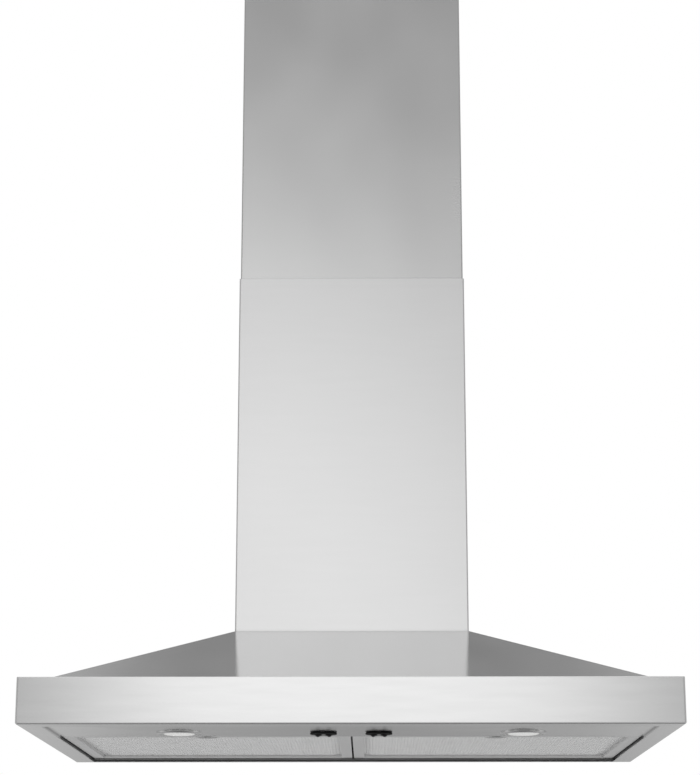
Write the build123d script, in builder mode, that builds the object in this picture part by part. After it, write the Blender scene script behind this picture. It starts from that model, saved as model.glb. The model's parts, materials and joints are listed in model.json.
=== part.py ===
from build123d import *
import math
import os

# Wall-mounted chimney range hood, 30 in wide. Millimetres, +Z up, the room at -Y.
# The origin is the centre of the four wall screws, on the wall face of the back panel.

os.makedirs("parts", exist_ok=True)

# ---------------------------------------------------------------- driving dimensions
HOOD_W = 760.0  # outer width of the band
HOOD_D = 500.0  # wall to front face
BAND_H = 54.0  # height of the band
CANOPY_H = 140.0  # bottom edge to the top of the pyramid
LEDGE = 26.0  # flat ledge between the band and the pyramid
LIP = 26.0  # return lip under the band
FLUE_W = 294.0  # outer width of the lower flue
FLUE_D = 270.0  # wall to front face of the lower flue
LOWER_FLUE_H = 465.0
UPPER_FLUE_H = 500.0
FLUE_OVERLAP = 40.0  # upper flue inside the lower flue, at full height
FLUE_GAP = 0.4  # between the two flues
SHEET = 1.0  # stainless sheet
PLATE = 1.2  # inner plates and rails
BEND_R = 2.5  # outer bend radius of the band
FLUE_BEND_R = 1.8  # outer bend radius of the flues
WALL_SCREW_H = 75.0  # bottom edge to the centre of the wall screws
WALL_SCREW_DX = 260.0
WALL_SCREW_DZ = 70.0
WALL_HOLE_R = 3.5
SCREW_R = 2.0  # M4 screws
SCREW_HEAD_R = 4.0
SCREW_HEAD_H = 2.4

# ---------------------------------------------------------------- levels and outlines
BASE_Z = -WALL_SCREW_H
BAND_TOP = BASE_Z + BAND_H
CANOPY_TOP = BASE_Z + CANOPY_H
LOWER_FLUE_TOP = CANOPY_TOP + LOWER_FLUE_H
UPPER_FLUE_BOTTOM = LOWER_FLUE_TOP - FLUE_OVERLAP
HOOD_TOP = UPPER_FLUE_BOTTOM + UPPER_FLUE_H
HALF_W = HOOD_W / 2
OPENING_X = HALF_W - LIP  # inner edge of the side lips
OPENING_Y = -(HOOD_D - LIP)  # inner edge of the front lip
PYRAMID_X = HALF_W - LEDGE
PYRAMID_Y = -(HOOD_D - LEDGE)
FLUE_X = FLUE_W / 2
LEDGE_UNDERLAP = 4.0  # ledge that carries on under the pyramid wall
CUT = 2.0  # how far a cutting shape reaches past a face


def save(builder, name):
    """Label a finished piece and write it to its own file."""
    builder.part.label = name
    export_step(builder.part, f"parts/{name}.step")


def block(x, y, z, mode=Mode.ADD):
    """A rectangular block between two values on each axis."""
    with Locations(((x[0] + x[1]) / 2, (y[0] + y[1]) / 2, (z[0] + z[1]) / 2)):
        Box(abs(x[1] - x[0]), abs(y[1] - y[0]), abs(z[1] - z[0]), mode=mode)


def rod(plane, centre, radius, length, mode=Mode.ADD):
    """A round bar that starts on the plane at the given centre and runs along its normal."""
    with BuildSketch(plane) as section:
        with Locations(centre):
            Circle(radius)
    extrude(section.sketch, amount=length, mode=mode)


def pan_screw(plane, centre, shank, mode=Mode.ADD):
    """An M4 pan-head screw: the head stands on the plane, the shank runs against its normal."""
    rod(plane, centre, SCREW_HEAD_R, SCREW_HEAD_H, mode)
    rod(plane, centre, SCREW_R, -shank, mode)


# ---------------------------------------------------------------- fascia band
# One sheet: front and two sides, the ledge turned in at the top, the lips turned in below.
LOW_BEND_R = BEND_R - 0.1  # a little tighter, so that the bends meet cleanly at the corners
with BuildPart() as band_void:
    block(
        (-HALF_W + SHEET, HALF_W - SHEET),
        (-HOOD_D + SHEET, CUT),
        (BASE_Z + SHEET, BAND_TOP - SHEET),
    )
    fillet(band_void.edges().filter_by(Axis.Z).group_by(Axis.Y)[0], BEND_R - SHEET)
    fillet(
        band_void.edges().group_by(Axis.Z)[0].filter_by(lambda e: e.center().Y < 0),
        LOW_BEND_R - SHEET,
    )

with BuildPart() as fascia_band:
    block((-HALF_W, HALF_W), (-HOOD_D, 0), (BASE_Z, BAND_TOP))
    fillet(fascia_band.edges().filter_by(Axis.Z).group_by(Axis.Y)[0], BEND_R)
    fillet(
        fascia_band.edges().group_by(Axis.Z)[0].filter_by(lambda e: e.center().Y < -1),
        LOW_BEND_R,
    )
    fillet(
        fascia_band.edges().group_by(Axis.Z)[-1].filter_by(lambda e: e.center().Y < -1),
        SHEET,
    )
    add(band_void.part, mode=Mode.SUBTRACT)
    block(
        (-OPENING_X, OPENING_X), (OPENING_Y, CUT), (BASE_Z - CUT, BASE_Z + CUT), Mode.SUBTRACT
    )
    ledge_x = PYRAMID_X - LEDGE_UNDERLAP
    ledge_y = PYRAMID_Y + LEDGE_UNDERLAP
    block((-ledge_x, ledge_x), (ledge_y, CUT), (BAND_TOP - CUT, BAND_TOP + CUT), Mode.SUBTRACT)
save(fascia_band, "fascia_band")

# ---------------------------------------------------------------- canopy shell
# Low three-sided pyramid that stands on the ledge, with a flange on top for the flue and blower.
RISE = CANOPY_TOP - BAND_TOP
SIDE_RUN = PYRAMID_X - FLUE_X
FRONT_RUN = -PYRAMID_Y - FLUE_D
SIDE_WALL = SHEET / math.sin(math.atan2(RISE, SIDE_RUN))  # wall measured level
FRONT_WALL = SHEET / math.sin(math.atan2(RISE, FRONT_RUN))
HIP_R = 1.5
THROAT_X = 120.0  # air opening in the top flange
THROAT_Y = (-246.0, -20.0)
FLUE_TAB_Y = (-40.0, -20.0)  # tabs that the lower flue is screwed to
FLUE_TAB_H = 20.0
FLUE_SCREW_Y = -30.0
FLUE_SCREW_Z = CANOPY_TOP + 12.0
BOX_SCREWS = [(-132, -60), (132, -60), (-132, -200), (132, -200), (-60, -257), (60, -257)]


def pyramid(side_wall, front_wall, rear, mode=Mode.ADD):
    """The pyramid, upright at the wall, drawn a wall's thickness inside its outer faces."""
    base_x = PYRAMID_X - side_wall
    top_x = FLUE_X - side_wall
    with Locations(Location((-base_x, rear, BAND_TOP), (90, 0, 0))):
        Wedge(
            2 * base_x,
            RISE,
            rear - PYRAMID_Y - front_wall,
            base_x - top_x,
            0,
            base_x + top_x,
            rear + FLUE_D - front_wall,
            align=(Align.MIN, Align.MIN, Align.MIN),
            mode=mode,
        )


with BuildPart() as canopy_shell:
    pyramid(0, 0, 0)
    hips = canopy_shell.edges().filter_by(
        lambda e: abs(e.tangent_at(0.5).X) > 0.3 and abs(e.tangent_at(0.5).Y) > 0.3
    )
    fillet(hips, HIP_R)
    pyramid(SIDE_WALL, FRONT_WALL, CUT, Mode.SUBTRACT)
    with BuildSketch(Plane.XY.offset(CANOPY_TOP - SHEET)):
        with Locations((0, -FLUE_D / 2)):
            Rectangle(FLUE_W, FLUE_D)
        with Locations((0, (THROAT_Y[0] + THROAT_Y[1]) / 2)):
            Rectangle(2 * THROAT_X, THROAT_Y[1] - THROAT_Y[0], mode=Mode.SUBTRACT)
    extrude(amount=SHEET)
    for side in (-1, 1):
        tab_x = side * (FLUE_X - SHEET)
        block(
            (tab_x, tab_x - side * PLATE),
            FLUE_TAB_Y,
            (CANOPY_TOP, CANOPY_TOP + FLUE_TAB_H),
        )
        rod(
            Plane.YZ.offset(side * FLUE_X),
            (FLUE_SCREW_Y, FLUE_SCREW_Z),
            SCREW_R,
            -side * (SHEET + 2 * PLATE),
            Mode.SUBTRACT,
        )
    for centre in BOX_SCREWS:
        rod(Plane.XY.offset(CANOPY_TOP + CUT), centre, SCREW_R, -2 * CUT, Mode.SUBTRACT)
save(canopy_shell, "canopy_shell")

# ---------------------------------------------------------------- back panel
# Closes the canopy at the wall. Four round holes take the wall screws, two keyholes hang it first.
PANEL_GAP = 0.1  # clear of the sloping walls
CORNER = 2.0
KEYHOLE_X = 60.0
KEYHOLE_Z = 45.0
KEYHOLE_R = 3.25
KEYHOLE_ENTRY_R = 6.5
KEYHOLE_DROP = 12.0
GLAND_X = 190.0
GLAND_Z = BASE_Z + 46.0
GLAND_R = 10.0


def slope_x(z):
    """Inner face of the side slope at a height."""
    return PYRAMID_X - SIDE_WALL - (z - BAND_TOP) * SIDE_RUN / RISE


def panel_outline():
    """Right half of the back panel's outline, from the bottom up."""
    inner_x = HALF_W - SHEET - PANEL_GAP
    shelf = BAND_TOP - SHEET
    top = CANOPY_TOP - SHEET
    slope_start = BAND_TOP + 1.0
    return [
        (OPENING_X - PANEL_GAP, BASE_Z),
        (OPENING_X - PANEL_GAP, BASE_Z + SHEET),
        (inner_x - CORNER, BASE_Z + SHEET),
        (inner_x, BASE_Z + SHEET + CORNER),
        (inner_x, shelf - CORNER),
        (inner_x - CORNER, shelf),
        (slope_x(slope_start) - PANEL_GAP, shelf),
        (slope_x(slope_start) - PANEL_GAP, slope_start),
        (slope_x(top) - PANEL_GAP, top),
    ]


with BuildPart() as back_panel:
    with BuildSketch(Plane.XZ) as outline:
        right = panel_outline()
        left = [(-x, z) for x, z in reversed(right)]
        with BuildLine():
            Polyline(*right, *left, close=True)
        make_face()
        with GridLocations(WALL_SCREW_DX, WALL_SCREW_DZ, 2, 2):
            Circle(WALL_HOLE_R, mode=Mode.SUBTRACT)
        with Locations((GLAND_X, GLAND_Z)):
            Circle(GLAND_R, mode=Mode.SUBTRACT)
        for side in (-1, 1):
            with Locations((side * KEYHOLE_X, KEYHOLE_Z - KEYHOLE_DROP)):
                Circle(KEYHOLE_ENTRY_R, mode=Mode.SUBTRACT)
            with Locations((side * KEYHOLE_X, KEYHOLE_Z - KEYHOLE_DROP / 2)):
                SlotCenterToCenter(
                    KEYHOLE_DROP, 2 * KEYHOLE_R, rotation=90, mode=Mode.SUBTRACT
                )
    extrude(amount=PLATE)
save(back_panel, "back_panel")

# ---------------------------------------------------------------- control panel
# Front strip of the underside: a shallow tray whose feet lie on the lips.
PANEL_Z = BASE_Z + 3.5  # its lower face
PANEL_TOP = PANEL_Z + PLATE
PANEL_REAR = -322.0
FOOT_Z = BASE_Z + SHEET
FOOT = 18.0
FLANGE_TOP = BASE_Z + 16.0
CONTROL_Y = -371.5  # line of the knobs and lamps
KNOB_X = 33.0
LAMP_X = 205.0
LAMP_HOLE_R = 25.0
BUSHING_R = 4.8
FILTER_X = (1.2, 352.0)
LATCH_X = (FILTER_X[0] + FILTER_X[1]) / 2
STRIKE_W = 26.0
STRIKE_D = 9.0
STRIKE_TOP = BASE_Z + 10.0

with BuildPart() as control_panel:
    block(
        (-OPENING_X - FOOT, OPENING_X + FOOT),
        (OPENING_Y - FOOT, PANEL_REAR),
        (FOOT_Z, FOOT_Z + PLATE),
    )
    block(
        (-OPENING_X - PLATE, OPENING_X + PLATE),
        (OPENING_Y - PLATE, PANEL_REAR),
        (FOOT_Z, PANEL_TOP),
    )
    block(
        (-OPENING_X, OPENING_X), (OPENING_Y, PANEL_REAR + CUT), (FOOT_Z, PANEL_Z), Mode.SUBTRACT
    )
    block((-OPENING_X, OPENING_X), (PANEL_REAR - PLATE, PANEL_REAR), (PANEL_Z, FLANGE_TOP))
    for side in (-1, 1):
        rod(
            Plane.XY.offset(PANEL_Z - CUT),
            (side * LAMP_X, CONTROL_Y),
            LAMP_HOLE_R,
            PLATE + 2 * CUT,
            Mode.SUBTRACT,
        )
        rod(
            Plane.XY.offset(PANEL_Z - CUT),
            (side * KNOB_X, CONTROL_Y),
            BUSHING_R,
            PLATE + 2 * CUT,
            Mode.SUBTRACT,
        )
        strike_x = side * LATCH_X
        block(
            (strike_x - STRIKE_W / 2, strike_x + STRIKE_W / 2),
            (PANEL_REAR - STRIKE_D, PANEL_REAR + CUT),
            (PANEL_Z - CUT, STRIKE_TOP),
            Mode.SUBTRACT,
        )
save(control_panel, "control_panel")

# ---------------------------------------------------------------- rails
# Side rails: a foot on the lip, a wall, and a ledge over the filter's edge. The ledge stops short
# of the wall, because the filter's rear edge rises there when its front drops.
RAIL_LEDGE = 14.0
RAIL_Z = FLANGE_TOP - PLATE
SWING_ROOM_Y = -28.0
SWING_ROOM_Z = BASE_Z + 19.0
for side, name in ((-1, "left"), (1, "right")):
    with BuildPart() as side_rail:
        reach = (PANEL_REAR, -PLATE)
        inner = side * OPENING_X
        block((inner, inner + side * FOOT), reach, (FOOT_Z, FOOT_Z + PLATE))
        block((inner, inner + side * PLATE), reach, (FOOT_Z, FLANGE_TOP))
        block(
            (inner - side * RAIL_LEDGE, inner + side * PLATE),
            (PANEL_REAR, SWING_ROOM_Y),
            (RAIL_Z, FLANGE_TOP),
        )
    save(side_rail, f"side_rail_{name}")

# Centre rail: an upside-down T above the line between the filters.
CENTRE_RAIL_W = 30.0
CENTRE_WEB_H = 14.0
with BuildPart() as centre_rail:
    with BuildSketch(Plane.XZ.offset(PLATE)):
        with Locations((0, RAIL_Z + PLATE / 2)):
            Rectangle(CENTRE_RAIL_W, PLATE)
        with Locations((0, RAIL_Z + CENTRE_WEB_H / 2)):
            Rectangle(PLATE, CENTRE_WEB_H)
    extrude(amount=-PANEL_REAR - PLATE)
    block(
        (-CENTRE_RAIL_W, CENTRE_RAIL_W),
        (SWING_ROOM_Y, 0),
        (RAIL_Z - CUT, SWING_ROOM_Z),
        Mode.SUBTRACT,
    )
save(centre_rail, "centre_rail")

# Rear rail: a channel along the back panel whose lip carries the rear edge of the filters. They
# swing on the round bend at the top of the lip.
FILTER_Z = BASE_Z + 4.0  # underside of the filters
SWING_GAP = 0.3
SWING_R = 1.5
SWING_Y = -14.0
with BuildPart() as rear_rail:
    lip_y = SWING_Y - SWING_R
    lip_z = FILTER_Z - SWING_GAP
    rail_x = (-OPENING_X + SWING_GAP, OPENING_X - SWING_GAP)
    block(rail_x, (lip_y, -PLATE), (lip_z - PLATE, lip_z))
    block(rail_x, (lip_y, lip_y + PLATE), (BASE_Z, lip_z))
    block(rail_x, (-2 * PLATE, -PLATE), (lip_z - PLATE, RAIL_Z))
    fillet(rear_rail.edges().filter_by(Axis.X).group_by(Axis.Y)[0].sort_by(Axis.Z)[-1], SWING_R)
save(rear_rail, "rear_rail")

# ---------------------------------------------------------------- grease filters
# A folded channel frame holds a mesh pack of a flat screen with a corrugated layer on it. The
# pack lies on a hem round the frame's opening, so it is recessed above the frame's lower face.
FILTER_Y = (-320.0, -4.0)
FILTER_H = 10.0
FILTER_TOP = FILTER_Z + FILTER_H
FRAME_W = 14.0
FRAME_SHEET = 1.0
HEM_T = 1.0
RECESS = 5.0  # height of the hem
PACK_GAP = 0.2
SCREEN_T = 0.8
WAVE_PITCH = 12.0
CUP_R = 15.0  # finger cup of the latch, sunk into the frame's front
CUP_Y = FILTER_Y[0] + CUP_R + 0.5
CUP_HOLE_R = 12.5
CUP_ROOF = 2.0
BOLT_W = 10.0
BOLT_T = 2.0
BOLT_Z = BASE_Z + 6.0
BOLT_REACH = 7.0  # past the front edge of the filter
SLIDE_GAP = 0.3
TAB_T = 3.0
TAB_Z = FILTER_Z + 0.6
BOLT_CORNER = 2.0


def corrugated_pack(x0, x1, floor, roof):
    """Section of the mesh pack across its waves, from x0 to x1."""
    waves = int((x1 - x0) // WAVE_PITCH)
    pitch = (x1 - x0) / waves
    crest = roof - SCREEN_T
    lower = []
    for step in range(waves):
        start = x0 + step * pitch
        lower += [(start, floor + SCREEN_T / 2), (start + pitch / 2, crest)]
    lower.append((x1, floor + SCREEN_T / 2))
    upper = [(x, z + SCREEN_T) for x, z in reversed(lower)]
    with BuildSketch(Plane.XZ.offset(-FILTER_Y[1] + FRAME_SHEET + PACK_GAP)) as section:
        with Locations(((x0 + x1) / 2, floor + SCREEN_T / 2)):
            Rectangle(x1 - x0, SCREEN_T)
        with BuildLine():
            Polyline(*lower, *upper, close=True)
        make_face()
    return section.sketch


for side, name in ((-1, "left"), (1, "right")):
    x_in, x_out = side * FILTER_X[0], side * FILTER_X[1]
    low_x, high_x = min(x_in, x_out), max(x_in, x_out)
    latch_x = side * LATCH_X
    with BuildPart() as filter_frame:
        block((low_x, high_x), FILTER_Y, (FILTER_Z, FILTER_TOP))
        block(
            (low_x + FRAME_SHEET, high_x - FRAME_SHEET),
            (FILTER_Y[0] + FRAME_SHEET, FILTER_Y[1] - FRAME_SHEET),
            (FILTER_Z + FRAME_SHEET, FILTER_TOP - FRAME_SHEET),
            Mode.SUBTRACT,
        )
        block(
            (low_x + FRAME_W, high_x - FRAME_W),
            (FILTER_Y[0] + FRAME_W, FILTER_Y[1] - FRAME_W),
            (FILTER_Z - CUT, FILTER_TOP + CUT),
            Mode.SUBTRACT,
        )
        with BuildSketch(Plane.XY.offset(FILTER_Z)):
            with Locations(((low_x + high_x) / 2, (FILTER_Y[0] + FILTER_Y[1]) / 2)):
                opening_w = high_x - low_x - 2 * FRAME_W
                opening_d = FILTER_Y[1] - FILTER_Y[0] - 2 * FRAME_W
                Rectangle(opening_w + 2 * HEM_T, opening_d + 2 * HEM_T)
                Rectangle(opening_w, opening_d, mode=Mode.SUBTRACT)
        extrude(amount=RECESS)
        rod(Plane.XY.offset(FILTER_Z), (latch_x, CUP_Y), CUP_R, FILTER_H)
        rod(
            Plane.XY.offset(FILTER_Z),
            (latch_x, CUP_Y),
            CUP_HOLE_R,
            FILTER_H - CUP_ROOF,
            Mode.SUBTRACT,
        )
        slot_w = BOLT_W / 2 + SLIDE_GAP
        block(
            (latch_x - slot_w, latch_x + slot_w),
            (FILTER_Y[0] - CUT, CUP_Y),
            (BOLT_Z - SLIDE_GAP, BOLT_Z + BOLT_T + SLIDE_GAP),
            Mode.SUBTRACT,
        )
    save(filter_frame, f"filter_frame_{name}")

    with BuildPart() as filter_mesh:
        edge = FRAME_SHEET + PACK_GAP
        extrude(
            corrugated_pack(
                low_x + edge, high_x - edge, FILTER_Z + RECESS, FILTER_TOP - edge
            ),
            amount=FILTER_Y[1] - FILTER_Y[0] - 2 * edge,
        )
        rod(
            Plane.XY.offset(FILTER_Z - CUT),
            (latch_x, CUP_Y),
            CUP_R + PACK_GAP,
            FILTER_H + 2 * CUT,
            Mode.SUBTRACT,
        )
        block(
            (latch_x - CUP_R - PACK_GAP, latch_x + CUP_R + PACK_GAP),
            (FILTER_Y[0] - CUT, CUP_Y),
            (FILTER_Z - CUT, FILTER_TOP + CUT),
            Mode.SUBTRACT,
        )
    save(filter_mesh, f"filter_mesh_{name}")

    # Latch: a flat bolt through the front of the cup, with a thumb tab inside the cup.
    with BuildPart() as latch:
        block(
            (latch_x - BOLT_W / 2, latch_x + BOLT_W / 2),
            (FILTER_Y[0] - BOLT_REACH, CUP_Y + TAB_T),
            (BOLT_Z, BOLT_Z + BOLT_T),
        )
        block(
            (latch_x - BOLT_W / 2, latch_x + BOLT_W / 2),
            (CUP_Y, CUP_Y + TAB_T),
            (TAB_Z, BOLT_Z + BOLT_T),
        )
        fillet(latch.edges().filter_by(Axis.Z).group_by(Axis.Y)[0], BOLT_CORNER)
    save(latch, f"latch_{name}")

# ---------------------------------------------------------------- knobs and switches
# Each knob is a thin skirt with a finger grip that a front-to-back groove splits in two ridges.
KNOB_R = 16.0
KNOB_TOP = PANEL_Z - 0.5
SKIRT_T = 2.3
GRIP_H = 3.2
GRIP_R = 10.4
GRIP_TOP_R = 8.6
GROOVE_R = 6.5
GROOVE_HALF_W = 5.2  # half the groove's width where it opens below
NUT_POCKET = (9.0, 2.0)  # radius and depth of the hollow over the nut
NUT_AF = 13.0
NUT_T = 1.5
SHAFT_R = 3.0
RUNNING_GAP = 0.05
SWITCH_SIZE = 30.0
SWITCH_H = 20.0
SHAFT_IN_GRIP = 0.3  # the shaft ends just above the knob's groove
SHAFT_BOTTOM = KNOB_TOP - SKIRT_T - SHAFT_IN_GRIP
SHAFT_TOP = PANEL_TOP + 12.0
SHAFT_END_GAP = 0.5
BUSHING_END = 0.5  # bushing past the nut
LUG_X = (-8.0, 0.0, 8.0)
LUG_W = 4.0
LUG_T = 0.8
LUG_H = 6.0

for side, name in ((-1, "light"), (1, "fan")):
    centre = (side * KNOB_X, CONTROL_Y)
    skirt_bottom = KNOB_TOP - SKIRT_T
    with BuildPart() as knob:
        rod(Plane.XY.offset(skirt_bottom), centre, KNOB_R, SKIRT_T)
        fillet(knob.edges().group_by(Axis.Z)[0], 0.8)
        with BuildSketch(Plane.XY.offset(skirt_bottom)):
            with Locations(centre):
                Circle(GRIP_R)
        with BuildSketch(Plane.XY.offset(skirt_bottom - GRIP_H)):
            with Locations(centre):
                Circle(GRIP_TOP_R)
        loft()
        groove_drop = math.sqrt(GROOVE_R**2 - GROOVE_HALF_W**2)
        rod(
            Plane.XZ.offset(-CONTROL_Y - KNOB_R),
            (centre[0], skirt_bottom - GRIP_H - groove_drop),
            GROOVE_R,
            2 * KNOB_R,
            Mode.SUBTRACT,
        )
        rod(
            Plane.XY.offset(KNOB_TOP), centre, NUT_POCKET[0], -NUT_POCKET[1], Mode.SUBTRACT
        )
        rod(Plane.XY.offset(SHAFT_BOTTOM), centre, SHAFT_R, KNOB_TOP - SHAFT_BOTTOM, Mode.SUBTRACT)
    save(knob, f"{name}_knob")

    with BuildPart() as switch_shaft:
        rod(Plane.XY.offset(SHAFT_BOTTOM), centre, SHAFT_R, SHAFT_TOP - SHAFT_BOTTOM)
    save(switch_shaft, f"{name}_shaft")

    with BuildPart() as switch:
        half = SWITCH_SIZE / 2
        block(
            (centre[0] - half, centre[0] + half),
            (CONTROL_Y - half, CONTROL_Y + half),
            (PANEL_TOP, PANEL_TOP + SWITCH_H),
        )
        fillet(switch.edges().filter_by(Axis.Z), 2)
        rod(Plane.XY.offset(PANEL_TOP), centre, BUSHING_R, -PLATE - NUT_T - BUSHING_END)
        for lug_x in LUG_X:
            block(
                (centre[0] + lug_x - LUG_W / 2, centre[0] + lug_x + LUG_W / 2),
                (CONTROL_Y - LUG_T / 2, CONTROL_Y + LUG_T / 2),
                (PANEL_TOP + SWITCH_H, PANEL_TOP + SWITCH_H + LUG_H),
            )
        rod(
            Plane.XY.offset(PANEL_Z - NUT_T - CUT),
            centre,
            SHAFT_R + RUNNING_GAP,
            SHAFT_TOP + SHAFT_END_GAP - PANEL_Z + NUT_T + CUT,
            Mode.SUBTRACT,
        )
    save(switch, f"{name}_switch")

with BuildPart() as switch_nuts:
    with BuildSketch(Plane.XY.offset(PANEL_Z)):
        with Locations((-KNOB_X, CONTROL_Y), (KNOB_X, CONTROL_Y)):
            RegularPolygon(NUT_AF / 2, 6, major_radius=False)
            Circle(BUSHING_R, mode=Mode.SUBTRACT)
    extrude(amount=-NUT_T)
save(switch_nuts, "switch_nuts")

# ---------------------------------------------------------------- lamps
# A chromed ring pushes up through the panel and holds the lens; the bulb sits in a can above it.
RING_R = 28.0
RING_BORE_R = 21.0
RING_T = 2.6
RING_EDGE = (1.2, 0.3)  # the ring's rounded rim, inwards and up
SLEEVE_R = 24.8
SLEEVE_WALL = 1.6
SLEEVE_TOP = BASE_Z + 14.0
LENS_R = 23.0
LENS_T = 3.0
DOME_H = 3.0  # how far the lens bulges through the ring
CAN_R = 26.5
CAN_TOP = BASE_Z + 44.0
SOCKET_R = 9.0
SOCKET_Z = (BASE_Z + 34.0, BASE_Z + 52.0)
SOCKET_ROUND = 1.5
BULB_R = 17.5
BULB_FACE_R = 14.0  # the bulb's front glass, sunk in its rim
BULB_NECK_R = 7.0
BULB_Z = (10.0, 12.0, 13.0, 26.0)  # rim, front glass, end of the rim, neck: above the panel

for side, name in ((-1, "left"), (1, "right")):
    centre = (side * LAMP_X, CONTROL_Y)
    lamp_axis = Plane(
        origin=(centre[0], centre[1], PANEL_Z), x_dir=(1, 0, 0), z_dir=(0, -1, 0)
    )
    sleeve = SLEEVE_TOP - PANEL_Z
    with BuildPart() as lamp_ring:
        with BuildSketch(lamp_axis):
            with BuildLine():
                Polyline(
                    (RING_BORE_R, 0),
                    (RING_BORE_R, -RING_T),
                    (RING_R - RING_EDGE[0], -RING_T),
                    (RING_R, -RING_EDGE[1]),
                    (RING_R, 0),
                    (SLEEVE_R, 0),
                    (SLEEVE_R, sleeve),
                    (SLEEVE_R - SLEEVE_WALL, sleeve),
                    (SLEEVE_R - SLEEVE_WALL, 0),
                    close=True,
                )
            make_face()
        revolve(axis=Axis((centre[0], centre[1], 0), (0, 0, 1)))
    save(lamp_ring, f"lamp_ring_{name}")

    with BuildPart() as lamp_lens:
        dome_r = RING_BORE_R - 0.3
        sphere_r = (dome_r**2 + DOME_H**2) / (2 * DOME_H)
        dome_mid = sphere_r - DOME_H - math.sqrt(sphere_r**2 - dome_r**2 / 4)
        with BuildSketch(lamp_axis):
            with BuildLine():
                Line((0, LENS_T), (LENS_R, LENS_T))
                Line((LENS_R, LENS_T), (LENS_R, 0))
                Line((LENS_R, 0), (dome_r, 0))
                ThreePointArc((dome_r, 0), (dome_r / 2, dome_mid), (0, -DOME_H))
                Line((0, -DOME_H), (0, LENS_T))
            make_face()
        revolve(axis=Axis((centre[0], centre[1], 0), (0, 0, 1)))
    save(lamp_lens, f"lamp_lens_{name}")

    with BuildPart() as lamp_housing:
        rod(Plane.XY.offset(PANEL_TOP), centre, CAN_R, CAN_TOP - PANEL_TOP)
        rod(
            Plane.XY.offset(PANEL_TOP),
            centre,
            CAN_R - PLATE,
            CAN_TOP - PANEL_TOP - PLATE,
            Mode.SUBTRACT,
        )
        rod(Plane.XY.offset(CAN_TOP - CUT), centre, SOCKET_R, 2 * CUT, Mode.SUBTRACT)
    save(lamp_housing, f"lamp_housing_{name}")

    with BuildPart() as lamp_bulb:
        with BuildSketch(lamp_axis):
            with BuildLine():
                Polyline(
                    (0, BULB_Z[1]),
                    (BULB_FACE_R, BULB_Z[1]),
                    (BULB_FACE_R, BULB_Z[0]),
                    (BULB_R, BULB_Z[0]),
                    (BULB_R, BULB_Z[2]),
                    (BULB_NECK_R, BULB_Z[3]),
                    (BULB_NECK_R, SOCKET_Z[0] - PANEL_Z),
                    (0, SOCKET_Z[0] - PANEL_Z),
                    close=True,
                )
            make_face()
        revolve(axis=Axis((centre[0], centre[1], 0), (0, 0, 1)))
    save(lamp_bulb, f"lamp_bulb_{name}")

    with BuildPart() as lamp_socket:
        rod(Plane.XY.offset(SOCKET_Z[0]), centre, SOCKET_R, SOCKET_Z[1] - SOCKET_Z[0])
        fillet(lamp_socket.edges().group_by(Axis.Z)[-1], SOCKET_ROUND)
    save(lamp_socket, f"lamp_socket_{name}")

# ---------------------------------------------------------------- blower box
# Sheet box inside the lower flue; it stands on the canopy flange and draws through the throat.
BOX_X = 124.0
BOX_Y = (-250.0, -12.0)
BOX_H = 240.0
BOX_TOP = CANOPY_TOP + BOX_H
BOX_FLANGE = 14.0
BOX_REAR_FLANGE = 9.0
SHAFT_Y = -150.0
SHAFT_Z = CANOPY_TOP + 113.0
SCROLL_W = 120.0
SCROLL_R0 = 78.0
SCROLL_R1 = 114.0
TONGUE_ANGLE = 60.0
SCROLL_STEPS = 10
TONGUE_LEAN = 1.4  # degrees per millimetre of skin, which keeps the tongue's thickness
OUTLET_IN = 30.0  # outlet's front wall, behind the shaft
OUTLET_Y = (SHAFT_Y + OUTLET_IN, SHAFT_Y + SCROLL_R1)
COLLAR_SCREWS = [(-67, -130), (67, -130), (-67, -28), (67, -28)]

with BuildPart() as blower_box:
    block((-BOX_X, BOX_X), BOX_Y, (CANOPY_TOP, BOX_TOP))
    block(
        (-BOX_X + PLATE, BOX_X - PLATE),
        (BOX_Y[0] + PLATE, BOX_Y[1] - PLATE),
        (CANOPY_TOP - CUT, BOX_TOP - PLATE),
        Mode.SUBTRACT,
    )
    with BuildSketch(Plane.XY.offset(CANOPY_TOP)):
        front, rear = BOX_Y[0] - BOX_FLANGE, BOX_Y[1] + BOX_REAR_FLANGE
        with Locations((0, (front + rear) / 2)):
            Rectangle(2 * (BOX_X + BOX_FLANGE), rear - front)
        with Locations((0, (BOX_Y[0] + BOX_Y[1]) / 2)):
            Rectangle(2 * BOX_X, BOX_Y[1] - BOX_Y[0], mode=Mode.SUBTRACT)
        with Locations(*BOX_SCREWS):
            Circle(SCREW_R, mode=Mode.SUBTRACT)
    extrude(amount=PLATE)
    block(
        (-SCROLL_W / 2, SCROLL_W / 2),
        OUTLET_Y,
        (BOX_TOP - PLATE - CUT, BOX_TOP + CUT),
        Mode.SUBTRACT,
    )
    for centre in COLLAR_SCREWS:
        rod(Plane.XY.offset(BOX_TOP - PLATE - CUT), centre, SCREW_R, 2 * CUT + PLATE, Mode.SUBTRACT)
save(blower_box, "blower_box")


# ---------------------------------------------------------------- scroll
def volute(skin):
    """Outline of the scroll across the shaft, drawn a skin's thickness inside its outer face."""
    points = []
    first = TONGUE_ANGLE - TONGUE_LEAN * skin
    for step in range(SCROLL_STEPS + 1):
        turn = step / SCROLL_STEPS
        angle = math.radians(first + turn * (360 - first))
        reach = SCROLL_R0 - skin + (SCROLL_R1 - SCROLL_R0) * turn
        points.append((SHAFT_Y + reach * math.cos(angle), SHAFT_Z + reach * math.sin(angle)))
    top = BOX_TOP - PLATE + (CUT if skin else 0)
    corner_rear = (OUTLET_Y[1] - skin, top)
    corner_front = (OUTLET_Y[0] + skin, top)
    with BuildSketch(Plane.YZ) as outline:
        with BuildLine():
            Spline(*points)
            Line(points[-1], corner_rear)
            Line(corner_rear, corner_front)
            Line(corner_front, points[0])
        make_face()
    return outline.sketch


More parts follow.
